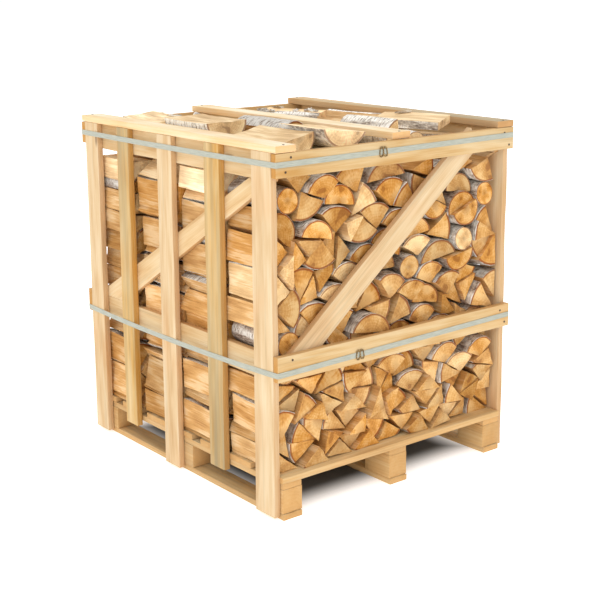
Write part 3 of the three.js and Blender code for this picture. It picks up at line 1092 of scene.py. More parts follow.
@dataclass(frozen=True)
class Stance:
    """One way that a master can lie, with its outline seen from below and from above.

    Attributes:
        master: The master's index.
        mirrored: Whether its other end is to the front.
        angle: How far it is turned about its length.
        left: How far it reaches to the left of its own middle.
        area: The area of its section.
        bark_side: Which way its bark faces, from -1, left, to 1, right.
        under: Its underside, column by column.
        over: Its top, column by column.
    """

    master: int
    mirrored: bool
    angle: float
    left: float
    area: float
    bark_side: float
    under: np.ndarray
    over: np.ndarray

    @staticmethod
    def measure(
        master: int,
        mirrored: bool,
        angle: float,
        outline: np.ndarray,
        bark: np.ndarray,
        step: float,
    ) -> "Stance":
        """Turn an outline and read its underside and top in columns.

        Args:
            master: The master's index.
            mirrored: Whether its other end is to the front.
            angle: How far it is turned.
            outline: Its convex section.
            bark: Which way its bark faces.
            step: Width of a column.

        Returns:
            The stance.
        """
        c, s = math.cos(angle), math.sin(angle)
        turn = np.array([[c, s], [-s, c]])
        flip = np.array([-1.0 if mirrored else 1.0, 1.0])
        ring = (outline * flip) @ turn
        left, right = ring[:, 0].min(), ring[:, 0].max()
        count = int(math.ceil((right - left) / step))
        places = left + (np.arange(count) + 0.5) * (right - left) / count
        under = np.full(count, np.inf)
        over = np.full(count, -np.inf)
        for a, b in zip(ring, np.roll(ring, -1, 0)):
            if abs(a[0] - b[0]) < 1e-9:
                continue
            met = (places >= min(a[0], b[0])) & (places <= max(a[0], b[0]))
            height = a[1] + (b[1] - a[1]) * (places[met] - a[0]) / (b[0] - a[0])
            under[met] = np.minimum(under[met], height)
            over[met] = np.maximum(over[met], height)
        area = float((over - under).sum() * step)
        bark_side = float(((bark * flip) @ turn)[0])
        return Stance(master, mirrored, angle, left, area, bark_side, under, over)

    def try_on(self, profile: np.ndarray, limit: np.ndarray, step: float) -> tuple[float, int, float]:
        """Drop the log on every place of a stack and find its best one.

        Args:
            profile: How high the stack is now, column by column.
            limit: How high it may be.
            step: Width of a column.

        Returns:
            A score where low is good, the first column, and the height of the log's middle.
        """
        count = len(self.under)
        deepest_gap = 0.04  # a gap deeper than this can still take a log
        slot = 0.06  # a slot narrower than this can't
        window = np.lib.stride_tricks.sliding_window_view(profile, count)
        room = np.lib.stride_tricks.sliding_window_view(limit, count)
        height = (window - self.under).max(1)
        gap = height[:, None] + self.under - window
        waste = np.minimum(gap, deepest_gap).sum(1) * step
        fits = ((height[:, None] + self.over) <= room).all(1)
        places = np.arange(len(window)) * step
        rest = places[::-1]
        narrow = np.where(places < slot, places, 0) + np.where(rest < slot, rest, 0)
        score = (waste + 0.07 * narrow) / self.area + 30.0 * (height + self.over.mean())
        # Against the flanks a broad split face is best, and bark is worst.
        wall = 5
        score[:2] -= 3.0 * (self.over[0] - self.under[0])
        score[-2:] -= 3.0 * (self.over[-1] - self.under[-1])
        score[:wall] += 0.6 * max(0.0, -self.bark_side)
        score[-wall:] += 0.6 * max(0.0, self.bark_side)
        score = np.where(fits, score, NO_FIT)
        column = int(score.argmin())
        return float(score[column]), column, float(height[column])


@dataclass(frozen=True)
class Placing:
    """Where one log lies in its row: how it lies, and how far across and up its middle is."""

    stance: Stance
    x: float
    z: float


@dataclass
class Woodpile:
    """Master logs, and the way that a row of them stacks in the crate.

    Attributes:
        width: Between the flank rails.
        step: Width of one column of the height profile.
        turns: How many ways round a log may lie.
        draws: How many stances are tried for each log that is added.
        reuse: What each earlier use of a master adds to its score.
        breathing: How much larger a log's section is taken, which leaves gaps between logs.
    """

    width: float
    step: float = 4 * MM
    turns: int = 24
    draws: int = 260
    reuse: float = 0.06
    breathing: float = 1.02
    masters: list[bpy.types.Object] = field(default_factory=list)
    cuts: list[Cut] = field(default_factory=list)
    outlines: list[np.ndarray] = field(default_factory=list)
    barks: list[np.ndarray] = field(default_factory=list)
    stances: list[Stance] = field(default_factory=list)

    def split_masters(self, finishes: Sequence[bpy.types.Material]) -> None:
        """Model every master log and measure each way that it can lie."""
        seed = 4000
        for plan in SPLIT_PLANS:
            for _ in range(plan.share):
                seed += 1
                log = SplitLog(plan, seed).build(finishes)
                log.name = f"master_{plan.cut.value}_{seed}"
                self.masters.append(log)
                self.cuts.append(plan.cut)
                self.measure(log)
                if plan.stacked:
                    for turn in range(2 * self.turns):
                        self.stances.append(self.stance(len(self.masters) - 1, turn % 2 == 1,
                                                        2 * math.pi * (turn // 2) / self.turns))

    def measure(self, log: bpy.types.Object) -> None:
        """Note a master's convex section and which way its bark faces."""
        middle_half = 0.07  # the ends are worn, so only the middle is measured
        one_sided = 0.006  # bark all round has its mean nearer the middle than this
        co = vertices_of(log.data)
        ring = co[np.abs(co[:, 1]) < middle_half][:, [0, 2]]
        self.outlines.append(convex_ring(ring) * self.breathing)
        bark = np.array([f.center for f in log.data.polygons if f.material_index == 2])
        middle = bark.mean(0)[[0, 2]] if len(bark) else np.zeros(2)
        size = np.hypot(*middle)
        self.barks.append(middle / size if size > one_sided else np.zeros(2))

    def stance(self, master: int, mirrored: bool, angle: float) -> Stance:
        """Measure one way that a master can lie."""
        return Stance.measure(master, mirrored, angle, self.outlines[master], self.barks[master],
                              self.step)

    def stack(self, seed: int, limit: np.ndarray) -> tuple[list[Placing], np.ndarray]:
        """Stack logs from the deck up, each where it leaves the least space.

        Args:
            seed: Draws the candidates.
            limit: How high the stack may be, column by column.

        Returns:
            Where each log lies, and the finished stack's height column by column.
        """
        rng = np.random.default_rng(seed)
        profile = np.zeros(len(limit))
        uses = np.zeros(len(self.masters))
        placings: list[Placing] = []
        while True:
            best: tuple[float, Stance, int, float] | None = None
            for pick in rng.choice(len(self.stances), self.draws, replace=False):
                stance = self.stances[pick]
                score, column, height = stance.try_on(profile, limit, self.step)
                score += self.reuse * uses[stance.master]
                if best is None or score < best[0]:
                    best = (score, stance, column, height)
            if best is None or best[0] > NO_FIT / 2:
                return placings, profile
            _, stance, column, height = best
            span = slice(column, column + len(stance.under))
            profile[span] = np.maximum(profile[span], height + stance.over)
            uses[stance.master] += 1
            placings.append(Placing(stance, column * self.step - self.width / 2 - stance.left, height))


def copy_log(master: bpy.types.Object, length_share: float = 1.0) -> bpy.types.Object:
    """Return a copy of a master with its own mesh, linked into the scene."""
    log = bpy.data.objects.new("log", master.data.copy())
    bpy.context.collection.objects.link(log)
    log.data.transform(Matrix.Diagonal((1, length_share, 1, 1)))
    return log


def tone_log(log: bpy.types.Object, rng: np.random.Generator, lightness: float = 0.0) -> None:
    """Write a log's own lightness, saturation and seed.

    Args:
        log: The log to tone.
        rng: Draws the tone.
        lightness: Added to the drawn lightness.
    """
    light = rng.normal(0.99, 0.08)
    strength = rng.uniform(0.94, 1.07)
    pale_share, pale_or_dark_share = 0.09, 0.2
    kind = rng.random()
    if kind < pale_share:
        light, strength = 1.2, 0.86
    elif kind < pale_or_dark_share:
        light, strength = light * 0.84, 1.05
    light = float(np.clip(light + 1.8 * lightness, 0.7, 1.65))
    strength *= 1 - 0.85 * max(lightness, 0.0)  # the lighter logs on top are drawn less yellow too: partly painted light from above, partly sun-faded wood
    tone = [light, strength, rng.uniform(0, 50)]
    write_vectors(log.data, "tone", np.tile(tone, (len(log.data.vertices), 1)))


@dataclass
class LogRows:
    """The four rows of stacked logs.

    Attributes:
        pile: The masters.
        rows: How many rows deep the crate is.
        tiers: How many pieces each row is joined into, from the deck up.
        spare: How far logs may reach between the flank rails, beside the slats.
        open_depth: How far down from the top the logs are drawn lighter, partly as painted light from above
            and partly as sun-faded wood.
        outer_drop: How far below the rows' height the front and back rows stop.
        inner_drop: How far below it the rows between them stop.
        right_drop: How much lower still every row is at its right end.
        right_from: Where across the crate that slope starts.
        right_run: How wide the slope is.
        top_light_and_fade: How much lighter the logs on top are drawn: partly painted light from above,
            partly sun-faded wood.
        tops: Each row's finished height, for what is tossed on it.
    """

    pile: Woodpile
    rows: int = 4
    tiers: int = 3
    spare: float = 19 * MM
    open_depth: float = 0.10
    outer_drop: float = 26 * MM
    inner_drop: float = 55 * MM
    right_drop: float = 0.03
    right_from: float = 0.30
    right_run: float = 0.08
    top_light_and_fade: float = 0.24
    tops: dict[int, np.ndarray] = field(default_factory=dict)

    def build(self) -> None:
        """Stack and join each row."""
        for row in range(1, self.rows + 1):
            low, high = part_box(f"log_row_{row}")
            height = high.z - low.z
            columns = int(self.pile.width / self.pile.step)
            x = (np.arange(columns) + 0.5) * self.pile.step - self.pile.width / 2
            slope = np.clip((x - self.right_from) / self.right_run, 0, 1)
            limit = height - self.right_drop * slope
            limit -= self.outer_drop if row in (1, self.rows) else self.inner_drop
            placings, top = self.pile.stack(10 + row, limit)
            self.tops[row] = top + low.z
            LOG.info("row %d holds %d logs", row, len(placings))
            self.build_row(row, placings)

    def blocked_bands(self, side: str, near: float, far: float) -> list[tuple[float, float]]:
        """Return the heights where a flank's rails and brace leave no spare room.

        Args:
            side: Which flank.
            near: The row's lowest Y.
            far: The row's highest Y.

        Returns:
            Pairs of a low and a high Z.
        """
        bands = []
        for level in ("top", "mid"):
            low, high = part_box(f"rail_{side}_{level}")
            bands.append((low.z, high.z))
        sides, _ = Brace(f"brace_{side}", Run.Y, 0).outline()
        heights = []
        for start, end in sides:
            for y in (near, far):
                share = np.clip((y - start[0]) / (end[0] - start[0]), 0, 1)
                heights.append(start[1] + share * (end[1] - start[1]))
        bands.append((min(heights), max(heights)))
        return bands

    def reach_out(self, placing: Placing, bottom: float, bands: dict[int, list]) -> float:
        """Return a log's place across the crate, moved out where nothing is in its way."""
        side = 1 if placing.x > 0 else -1
        low = bottom + placing.z + placing.stance.under.min() - 3 * MM
        high = bottom + placing.z + placing.stance.over.max() + 3 * MM
        if any(low < top and high > foot for foot, top in bands[side]):
            return placing.x
        return placing.x * (1 + 2 * self.spare / self.pile.width)

    def front_room(self, row: int, x: float, z: float) -> float:
        """Return how far a row's outer ends may slide out, given the brace across them.

        Args:
            row: The row's number.
            x: The log's middle across the crate.
            z: The log's middle.

        Returns:
            A length; inner rows have none to speak of.
        """
        inner_room, open_room, braced_room = 6 * MM, 22 * MM, 3 * MM
        clear_of_brace = 0.105  # half the brace's width and a log's radius
        if row not in (1, self.rows):
            return inner_room
        sides, _ = Brace("brace_front" if row == 1 else "brace_back", Run.X, 0).outline()
        middle = sides.mean(0)
        way = middle[1] - middle[0]
        share = np.clip((np.array([x, z]) - middle[0]) @ way / (way @ way), 0, 1)
        off = np.hypot(*(np.array([x, z]) - middle[0] - share * way))
        return open_room if off > clear_of_brace else braced_room

    def build_row(self, row: int, placings: Sequence[Placing]) -> None:
        """Copy masters into one row and join them in tiers.

        Args:
            row: The row's number, from the front.
            placings: Where its logs lie.
        """
        node = f"log_row_{row}"
        low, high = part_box(node)
        middle = (low + high) / 2
        rng = np.random.default_rng(70 + row)
        bands = {-1: self.blocked_bands("left", low.y, high.y),
                 1: self.blocked_bands("right", low.y, high.y)}
        outward = -1 if row <= self.rows / 2 else 1
        tiers: list[list[bpy.types.Object]] = [[] for _ in range(self.tiers)]
        for placing in placings:
            log = copy_log(self.pile.masters[placing.stance.master], rng.uniform(0.95, 1.0))
            room = self.front_room(row, placing.x, low.z + placing.z)
            slide = outward * rng.uniform(-14 * MM, room)
            log.data.transform(self.pose(placing, rng, (
                self.reach_out(placing, low.z, bands), middle.y + slide, low.z + placing.z)))
            # Logs near the top of the inner rows are drawn lighter: painted light from above, and sun-faded
            # wood.
            open_from = high.z - low.z - self.open_depth - self.inner_drop
            tone_log(log, rng, self.top_light_and_fade if row > 1 and placing.z > open_from else 0.0)
            tier = min(int(placing.z / (high.z - low.z) * self.tiers), self.tiers - 1)
            tiers[tier].append(log)
        for index, logs in enumerate(tiers, start=1):
            piece = join(logs, f"logs_row{row}_tier{index}")
            hand_over(piece, "split_birch", node)

    def pose(self, placing: Placing, rng: np.random.Generator, place: Point) -> Matrix:
        """Return a log's turn and place, with a little tilt of its own."""
        swap = Matrix.Rotation(math.pi if placing.stance.mirrored else 0.0, 4, "Z")
        roll = Matrix.Rotation(-placing.stance.angle, 4, "Y")
        tilt = Matrix.Rotation(rng.normal(0, 0.013), 4, "X") @ Matrix.Rotation(rng.normal(0, 0.010), 4, "Z")
        return Matrix.Translation(place) @ tilt @ roll @ swap


# ---------------------------------------------------------------- logs tossed on top


@dataclass(frozen=True)
class Tossed:
    """One log tossed on the rows.

    Attributes:
        cut: How it is split.
        x: Its middle across the crate.
        y: Its middle along the crate.
        yaw: How far it is turned from the rows' direction, in degrees.
        flat_up: How far its bark is turned from facing down, in degrees.
        pitch: How far its back end is lifted, in degrees.
        lightness: Added to its tone.
        stretch: Its length beside the masters'.
        proud: How far it may stand above the others.
    """

    cut: Cut
    x: float
    y: float
    yaw: float = 0.0
    flat_up: float = 0.0
    # lightness: Added to its tone: lighter on the heap, partly as painted light from above and partly as
    # sun-faded wood.
    pitch: float = 0.0
    lightness: float = 0.0
    stretch: float = 1.0
    proud: float = 0.0


# The heap's height limit leaves out those of them that would stand too high.
CHOSEN_LOGS = (
    Tossed(Cut.HALF, -0.240, 0.360, yaw=-4, flat_up=174, lightness=0.1),
    Tossed(Cut.THIRD, -0.225, 0.220, yaw=5, flat_up=168),
    Tossed(Cut.HALF, -0.345, 0.320, yaw=-6, flat_up=3, lightness=0.2),
    Tossed(Cut.BILLET, -0.340, 0.315, yaw=-9, stretch=0.9, lightness=0.16, proud=0.03),
    Tossed(Cut.PLANK, -0.190, 0.220, yaw=-14, flat_up=62, pitch=3, lightness=0.26, stretch=1.35,
           proud=0.02),
    Tossed(Cut.QUARTER, -0.225, 0.060, yaw=-9, flat_up=40, lightness=0.1),
    Tossed(Cut.HALF, -0.330, 0.030, yaw=3, flat_up=4, lightness=0.22),
    Tossed(Cut.THIRD, -0.140, -0.040, yaw=6, flat_up=160, lightness=0.05),
    Tossed(Cut.HALF, -0.210, -0.370, yaw=-5, flat_up=-5, lightness=0.3),
    Tossed(Cut.HALF, -0.330, -0.330, yaw=4, flat_up=8, lightness=0.26),
    Tossed(Cut.HALF, -0.110, -0.370, yaw=-8, flat_up=3, lightness=0.3, proud=0.012),
    Tossed(Cut.HALF, -0.300, -0.130, yaw=6, flat_up=-3, lightness=0.28),
    Tossed(Cut.SLAB, -0.320, -0.250, yaw=10, flat_up=0, lightness=0.3),
    Tossed(Cut.PLANK, -0.105, -0.310, yaw=-13, flat_up=92, lightness=0.3, stretch=1.35),
    Tossed(Cut.HALF, -0.210, -0.180, yaw=14, flat_up=10, lightness=0.24),
    Tossed(Cut.ROUND, 0.200, -0.270, yaw=-9, stretch=1.1, lightness=0.12),
    Tossed(Cut.HALF, 0.360, -0.280, yaw=27, flat_up=-4, lightness=0.2),
    Tossed(Cut.SLAB, 0.120, -0.370, yaw=3, flat_up=0, lightness=0.26),
    Tossed(Cut.HALF, 0.140, -0.040, yaw=-12, flat_up=6, lightness=0.12),
    Tossed(Cut.QUARTER, 0.270, 0.030, yaw=10, flat_up=44, lightness=0.2),
    Tossed(Cut.SLAB, 0.360, 0.020, yaw=-18, flat_up=5, lightness=0.26),
    Tossed(Cut.ROUND, 0.180, 0.230, yaw=38, lightness=0.25),
    Tossed(Cut.HALF, 0.120, 0.370, yaw=-16, flat_up=176, lightness=0.26),
    Tossed(Cut.HALF, 0.260, 0.330, yaw=22, flat_up=2, lightness=0.3),
    Tossed(Cut.THIRD, 0.360, 0.300, yaw=-10, flat_up=30, lightness=0.2),
)


@dataclass
class LooseLogs:
    """The logs that lie every way on top of the rows, between and beside the top boards.

    Attributes:
        pile: The masters.
        rows: The rows that they lie on.
        cell: Width of one cell of the height map.
        fillers: How many more logs are tossed at random.
        level: How high the heap's top lies.
        flakes: How many bark flakes are strewn over it.
        tries: How many places near its own a log is tried in, to find the lowest.
        nudge: How far across and along such a place may be.
        swing: How far a log may be turned there, in degrees.
        held_share: How much of a log has to lie over the rows.
        xs: Each cell's place across the crate.
        ys: Each cell's place along it.
        heights: How high the heap is now, cell by cell.
        roof: How high it may be, cell by cell.
    """

    pile: Woodpile
    rows: LogRows
    cell: float = 6 * MM
    fillers: int = 200
    level: float = 1.180
    flakes: int = 70
    tries: int = 14
    nudge: tuple[float, float] = (0.012, 0.02)
    swing: float = 3.0
    held_share: float = 0.93
    xs: np.ndarray = field(default_factory=lambda: np.zeros(0))
    ys: np.ndarray = field(default_factory=lambda: np.zeros(0))
    heights: np.ndarray = field(default_factory=lambda: np.zeros((0, 0)))
    roof: np.ndarray = field(default_factory=lambda: np.zeros((0, 0)))

    def build(self) -> None:
        """Drop every log on the height map and join each side into one piece."""
        self.map_rows()
        rng = np.random.default_rng(515)
        sides: dict[str, list[bpy.types.Object]] = {"left": [], "right": []}
        for tossed in [*CHOSEN_LOGS, *self.draw_fillers(rng)]:
            log = self.drop(tossed, rng)
            if log is not None:
                sides["left" if tossed.x < 0 else "right"].append(log)
        for side, logs in sides.items():
            LOG.info("%d loose logs on the %s", len(logs), side)
            hand_over(join(logs, f"logs_on_top_{side}"), "split_birch", f"loose_logs_{side}")
        self.shed_bark(rng)

    def shed_bark(self, rng: np.random.Generator) -> None:
        """Scatter curled flakes of papery bark on the heap, most of them at the back right.

        Args:
            rng: Draws each flake's place, size and tone.
        """
        deselect()
        bpy.ops.mesh.primitive_grid_add(x_subdivisions=5, y_subdivisions=4, size=1)
        master = settle(active(), "flake")
        sheet = vertices_of(master.data)
        sheet[:, 2] = 0.5 * sheet[:, 1] ** 2 + 0.12 * smooth_noise(sheet[:, :2] * 4, 61)
        write_vectors(master.data, "section", sheet * np.array([0.6, 1.0, 0.0]))
        master.data.vertices.foreach_set("co", sheet.astype(np.float32).ravel())
        master.data.materials.append(self.pile.masters[0].data.materials[2])
        flakes = []
        for _ in range(self.flakes):
            x = rng.triangular(-0.38, 0.30, 0.40)
            y = rng.triangular(-0.45, 0.48, 0.51)
            column = min(int((x - self.xs[0]) / self.cell), len(self.xs) - 1)
            line = min(int((y - self.ys[0]) / self.cell), len(self.ys) - 1)
            z = self.heights[column, line] + 3 * MM
            if z + 0.02 > self.roof[column, line]:
                continue
            flake = copy_log(master)
            turn = Matrix.Rotation(rng.uniform(0, 2 * math.pi), 4, "Z")
            tilt = Matrix.Rotation(rng.normal(0, 0.3), 4, "X")
            size = Matrix.Diagonal((rng.uniform(0.02, 0.06), rng.uniform(0.012, 0.03), 0.02, 1))
            flake.data.transform(Matrix.Translation((x, y, z)) @ turn @ tilt @ size)
            # Flakes on the heap are drawn lighter too: painted light from above, and sun-faded bark.
            tone_log(flake, rng, rng.uniform(0.1, 0.3))
            flakes.append(flake)
        bpy.data.objects.remove(master, do_unlink=True)
        piece = join(flakes, "bark_flakes")
        wall = piece.modifiers.new("thickness", "SOLIDIFY")
        wall.thickness = 1 * MM
        bpy.ops.object.modifier_apply(modifier=wall.name)
        hand_over(piece, "split_birch")

    def map_rows(self) -> None:
        """Start the height map from the rows' tops, and note where the top boards are."""
        low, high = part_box("log_row_1")[0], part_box("log_row_4")[1]
        self.xs = np.arange(low.x, high.x, self.cell)
        self.ys = np.arange(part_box("rail_front_top")[1].y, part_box("rail_back_top")[0].y, self.cell)
        self.heights = np.full((len(self.xs), len(self.ys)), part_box("log_row_1")[0].z)
        columns = np.clip(((self.xs + self.pile.width / 2) / self.pile.step).astype(int), 0, None)
        for row, top in self.rows.tops.items():
            near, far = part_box(f"log_row_{row}")
            band = (self.ys >= near.y) & (self.ys <= far.y)
            held = top[np.minimum(columns, len(top) - 1)]
            self.heights[:, band] = held[:, None]
        self.roof = np.full_like(self.heights, CAD_BOX[1][2] - 1 * MM)
        for place in ("left", "middle", "right"):
            near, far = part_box(f"top_board_{place}")
            under = (self.xs > near.x - 4 * MM) & (self.xs < far.x + 4 * MM)
            self.roof[under, :] = near.z - 2 * MM

    def draw_fillers(self, rng: np.random.Generator) -> Iterable[Tossed]:
        """Draw logs at random to fill what the chosen ones leave bare."""
        kinds = [Cut.HALF, Cut.THIRD, Cut.SLAB, Cut.SLAB, Cut.PLANK]
        for _ in range(self.fillers):
            yield Tossed(kinds[rng.integers(len(kinds))], rng.uniform(-0.40, 0.40),
                         rng.uniform(-0.39, 0.39), yaw=rng.normal(0, 16),
                         flat_up=rng.normal(0, 48), lightness=rng.uniform(0.18, 0.34),
                         stretch=rng.uniform(0.9, 1.0))

    def drop(self, tossed: Tossed, rng: np.random.Generator) -> bpy.types.Object | None:
        """Let one log down on what lies below it.

        Args:
            tossed: The log.
            rng: Picks its master and its tone.

        Returns:
            The log in its place, or None where it would stand too high.
        """
        choices = [i for i, cut in enumerate(self.pile.cuts) if cut is tossed.cut]
        master = int(rng.choice(choices))
        bark = self.pile.barks[master]
        down = -math.pi / 2 - math.atan2(bark[1], bark[0]) if bark.any() else 0.0
        stance = self.pile.stance(master, False, down + math.radians(tossed.flat_up))
        best = None
        for dx, dy, turn in rng.uniform(-1, 1, (self.tries, 3)):
            yaw = math.radians(tossed.yaw + self.swing * turn)
            x, y = tossed.x + self.nudge[0] * dx, tossed.y + self.nudge[1] * dy
            z = self.rest(stance, x, y, yaw, tossed)
            if z is not None and (best is None or z < best[0]):
                best = (z, x, y, yaw)
        if best is None:
            return None
        z, x, y, yaw = best
        self.rest(stance, x, y, yaw, tossed, keep=True)
        log = copy_log(self.pile.masters[master], tossed.stretch)
        log.data.transform(Matrix.Translation((x, y, z)) @ Matrix.Rotation(yaw, 4, "Z")
                           @ Matrix.Rotation(math.radians(tossed.pitch), 4, "X")
                           @ Matrix.Rotation(-stance.angle, 4, "Y"))
        # The heap's logs are drawn lighter and paler: partly painted light from above, partly sun-faded
        # wood.
        tone_log(log, rng, tossed.lightness)
        return log

    def rest(
        self, stance: Stance, x: float, y: float, yaw: float, tossed: Tossed, keep: bool = False
    ) -> float | None:
        """Find the height at which a log touches what is below it.

        Args:
            stance: How it is turned about its length.
            x: Its middle across the crate.
            y: Its middle along the crate.
            yaw: How far it is turned on the pile.
            tossed: The log.
            keep: Whether to add it to the height map.

        Returns:
            The height of its middle, or None where it doesn't fit.
        """
        half = SplitLog.length * tossed.stretch / 2
        gx, gy = np.meshgrid(self.xs - x, self.ys - y, indexing="ij")
        across = gx * math.cos(yaw) + gy * math.sin(yaw)
        along = -gx * math.sin(yaw) + gy * math.cos(yaw)
        count = len(stance.under)
        column = np.floor((across - stance.left) / self.pile.step).astype(int)
        met = (column >= 0) & (column < count) & (np.abs(along) < half)
        whole = 2 * half * count * self.pile.step / self.cell ** 2
        if met.sum() < self.held_share * whole:
            return None
        under = stance.under[column[met]]
        over = stance.over[column[met]]
        z = float((self.heights[met] - under).max())
        if (z + over > np.minimum(self.roof[met], self.level + tossed.proud)).any():
            return None
        if keep:
            self.heights[met] = np.maximum(self.heights[met], z + over)
        return z


# ---------------------------------------------------------------- straps, buckles and nails


@dataclass(frozen=True)
class Strap:
    """One strap drawn tight round the crate.

    Attributes:
        node: The strap's node.
        heights_mm: Its middle's height at the front left, front right, back right and back left.
        sag_mm: How far it hangs midway along each side, in the same order round the crate.
        width: Its width.
        thickness: Its thickness.
        steps: How many stretches each side is made of.
    """

    node: str
    heights_mm: tuple[float, float, float, float]
    sag_mm: tuple[float, float, float, float]
    width: float = 17 * MM
    thickness: float = 1.2 * MM
    steps: int = 24

    def path(self) -> np.ndarray:
        """Return points along the strap's middle line, from the front left corner round."""
        low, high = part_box(self.node)
        inset = self.thickness / 2
        round_off = 3 * MM
        x0, x1, y0, y1 = low.x + inset, high.x - inset, low.y + inset, high.y - inset
        turns = [(x0, y0), (x1, y0), (x1, y1), (x0, y1)]
        points = []
        for index, (x, y) in enumerate(turns):
            nx, ny = turns[(index + 1) % 4]
            way = np.array([nx - x, ny - y])
            way /= np.hypot(*way)
            start = np.array([x, y]) + way * round_off
            end = np.array([nx, ny]) - way * round_off
            for step in range(self.steps + 1):
                share = step / self.steps
                here = start + (end - start) * share
                z = (self.heights_mm[index] * (1 - share)
                     + self.heights_mm[(index + 1) % 4] * share
                     - self.sag_mm[index] * 4 * share * (1 - share)) * MM
                points.append((*here, z))
        return np.array(points)

    def build(self, material: bpy.types.Material) -> None:
        """Model the strap as a ring that is drawn down to its width and then thickened."""
        path = self.path()
        deselect()
        bpy.ops.mesh.primitive_circle_add(vertices=len(path), radius=1, fill_type="NOTHING")
        strap = active()
        strap.name = self.node + "_band"
        lower = path - np.array([0, 0, self.width / 2])
        strap.data.vertices.foreach_set("co", lower.astype(np.float32).ravel())
        strap.data.update()
        bpy.ops.object.mode_set(mode="EDIT")
        bpy.ops.mesh.select_all(action="SELECT")
        for _ in range(2):
            bpy.ops.mesh.extrude_region_move(
                TRANSFORM_OT_translate={"value": (0, 0, self.width / 2)})
        bpy.ops.mesh.select_all(action="SELECT")
        bpy.ops.mesh.normals_make_consistent(inside=False)
        bpy.ops.object.mode_set(mode="OBJECT")
        seam = np.r_[0, np.cumsum(np.linalg.norm(np.diff(path, axis=0), axis=1))]
        co = vertices_of(strap.data)
        nearest = np.array([np.hypot(*(path[:, :2] - p[:2]).T).argmin() for p in co])
        write_vectors(strap.data, "run", np.c_[seam[nearest], co[:, 2], np.zeros(len(co))])
        wall = strap.modifiers.new("thickness", "SOLIDIFY")
        wall.thickness = self.thickness
        wall.offset = 0
        bpy.ops.object.modifier_apply(modifier=wall.name)
        bpy.ops.object.shade_smooth_by_angle(angle=math.radians(40))
        strap.data.materials.append(material)
        hand_over(strap, "strap", self.node)


@dataclass(frozen=True)
class WireBuckle:
    """A strap buckle bent from steel wire: two tall loops side by side and a crossing wire."""

    node: str
    wire: float = 1.9 * MM

    def build(self, material: bpy.types.Material) -> None:
        """Model the loops and the crossing wire and join them."""
        low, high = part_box(self.node)
        middle = (low + high) / 2
        y = low.y + self.wire + 0.2 * MM
        parts = []
        for side, lean in ((-1, 6), (1, -12)):
            deselect()
            bpy.ops.mesh.primitive_torus_add(
                major_radius=0.007, minor_radius=self.wire, major_segments=28, minor_segments=8,
                location=(middle.x + side * 7.5 * MM, y, middle.z),
                rotation=(math.pi / 2, math.radians(lean), 0))
            loop = active()
            bpy.ops.object.mode_set(mode="EDIT")
            mesh = bmesh.from_edit_mesh(loop.data)
            for vert in mesh.verts:
                vert.co.y += math.copysign(8 * MM, vert.co.y) if abs(vert.co.y) > 1e-6 else 0
            bmesh.update_edit_mesh(loop.data)
            parts.append(settle(loop, "wire_loop"))
        deselect()
        bpy.ops.mesh.primitive_cylinder_add(
            vertices=10, radius=self.wire, depth=28 * MM, rotation=(0, math.pi / 2, 0.0),
            location=(middle.x, y, middle.z + 11 * MM))
        bar = active()
        bpy.ops.object.mode_set(mode="EDIT")
        bpy.ops.mesh.select_all(action="SELECT")
        bpy.ops.mesh.bevel(offset=0.5 * MM, segments=1, affect="EDGES")
        bpy.ops.object.mode_set(mode="OBJECT")
        parts.append(settle(bar, "wire_bar"))
        buckle = join(parts, self.node + "_wire")
        bpy.ops.object.shade_smooth_by_angle(angle=math.radians(50))
        buckle.data.materials.clear()
        buckle.data.materials.append(material)
        hand_over(buckle, "buckle_wire", self.node)


@dataclass
class Nails:
    """Nail heads, all joined in one piece.

    Attributes:
        radius: A head's radius.
        proud: How far a head stands off the wood.
    """

    radius: float = 3.6 * MM
    proud: float = 1.0 * MM

    def build(self, material: bpy.types.Material) -> None:
        """Model one head, and set a copy of it wherever boards are nailed together."""
        deselect()
        bpy.ops.mesh.primitive_cylinder_add(vertices=14, radius=self.radius, depth=3 * MM,
                                            location=(0, 0, self.proud - 1.5 * MM))
        master = settle(active(), "nail_head")
        bpy.ops.object.mode_set(mode="EDIT")
        mesh = bmesh.from_edit_mesh(master.data)
        select_by(mesh, lambda e: all(v.co.z > 0 for v in e.verts))
        bpy.ops.mesh.bevel(offset=0.6 * MM, segments=2, affect="EDGES")
        bpy.ops.object.mode_set(mode="OBJECT")
        master.data.materials.append(material)
        heads = []
        for place, normal in self.places():
            head = bpy.data.objects.new("nail", master.data.copy())
            bpy.context.collection.objects.link(head)
            turn = normal.to_track_quat("Z", "Y").to_matrix().to_4x4()
            head.data.transform(Matrix.Translation(place) @ turn)
            heads.append(head)
        bpy.data.objects.remove(master, do_unlink=True)
        nails = join(heads, "nail_heads")
        bpy.ops.object.shade_smooth_by_angle(angle=math.radians(40))
        hand_over(nails, "buckle_wire")

    def places(self) -> Iterable[tuple[Vector, Vector]]:
        """Yield the point and the outward direction of every nail head."""
        for face, outward in (("front", -1), ("back", 1)):
            for level in ("top", "mid"):
                low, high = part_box(f"rail_{face}_{level}")
                y = low.y if outward < 0 else high.y
                tall = high.z - low.z
                for x, drop in ((low.x + 36 * MM, 0.76), (low.x + 56 * MM, 0.20),
                                (high.x - 21 * MM, 0.79), (high.x - 44 * MM, 0.24)):
                    yield Vector((x, y, high.z - drop * tall)), Vector((0, outward, 0))
        for place in ("left", "middle", "right"):
            low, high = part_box(f"top_board_{place}")
            for y in (low.y + 12 * MM, high.y - 12 * MM):
                yield Vector(((low.x + high.x) / 2, y, high.z)), Vector((0, 0, 1))


# ---------------------------------------------------------------- floor, light and camera


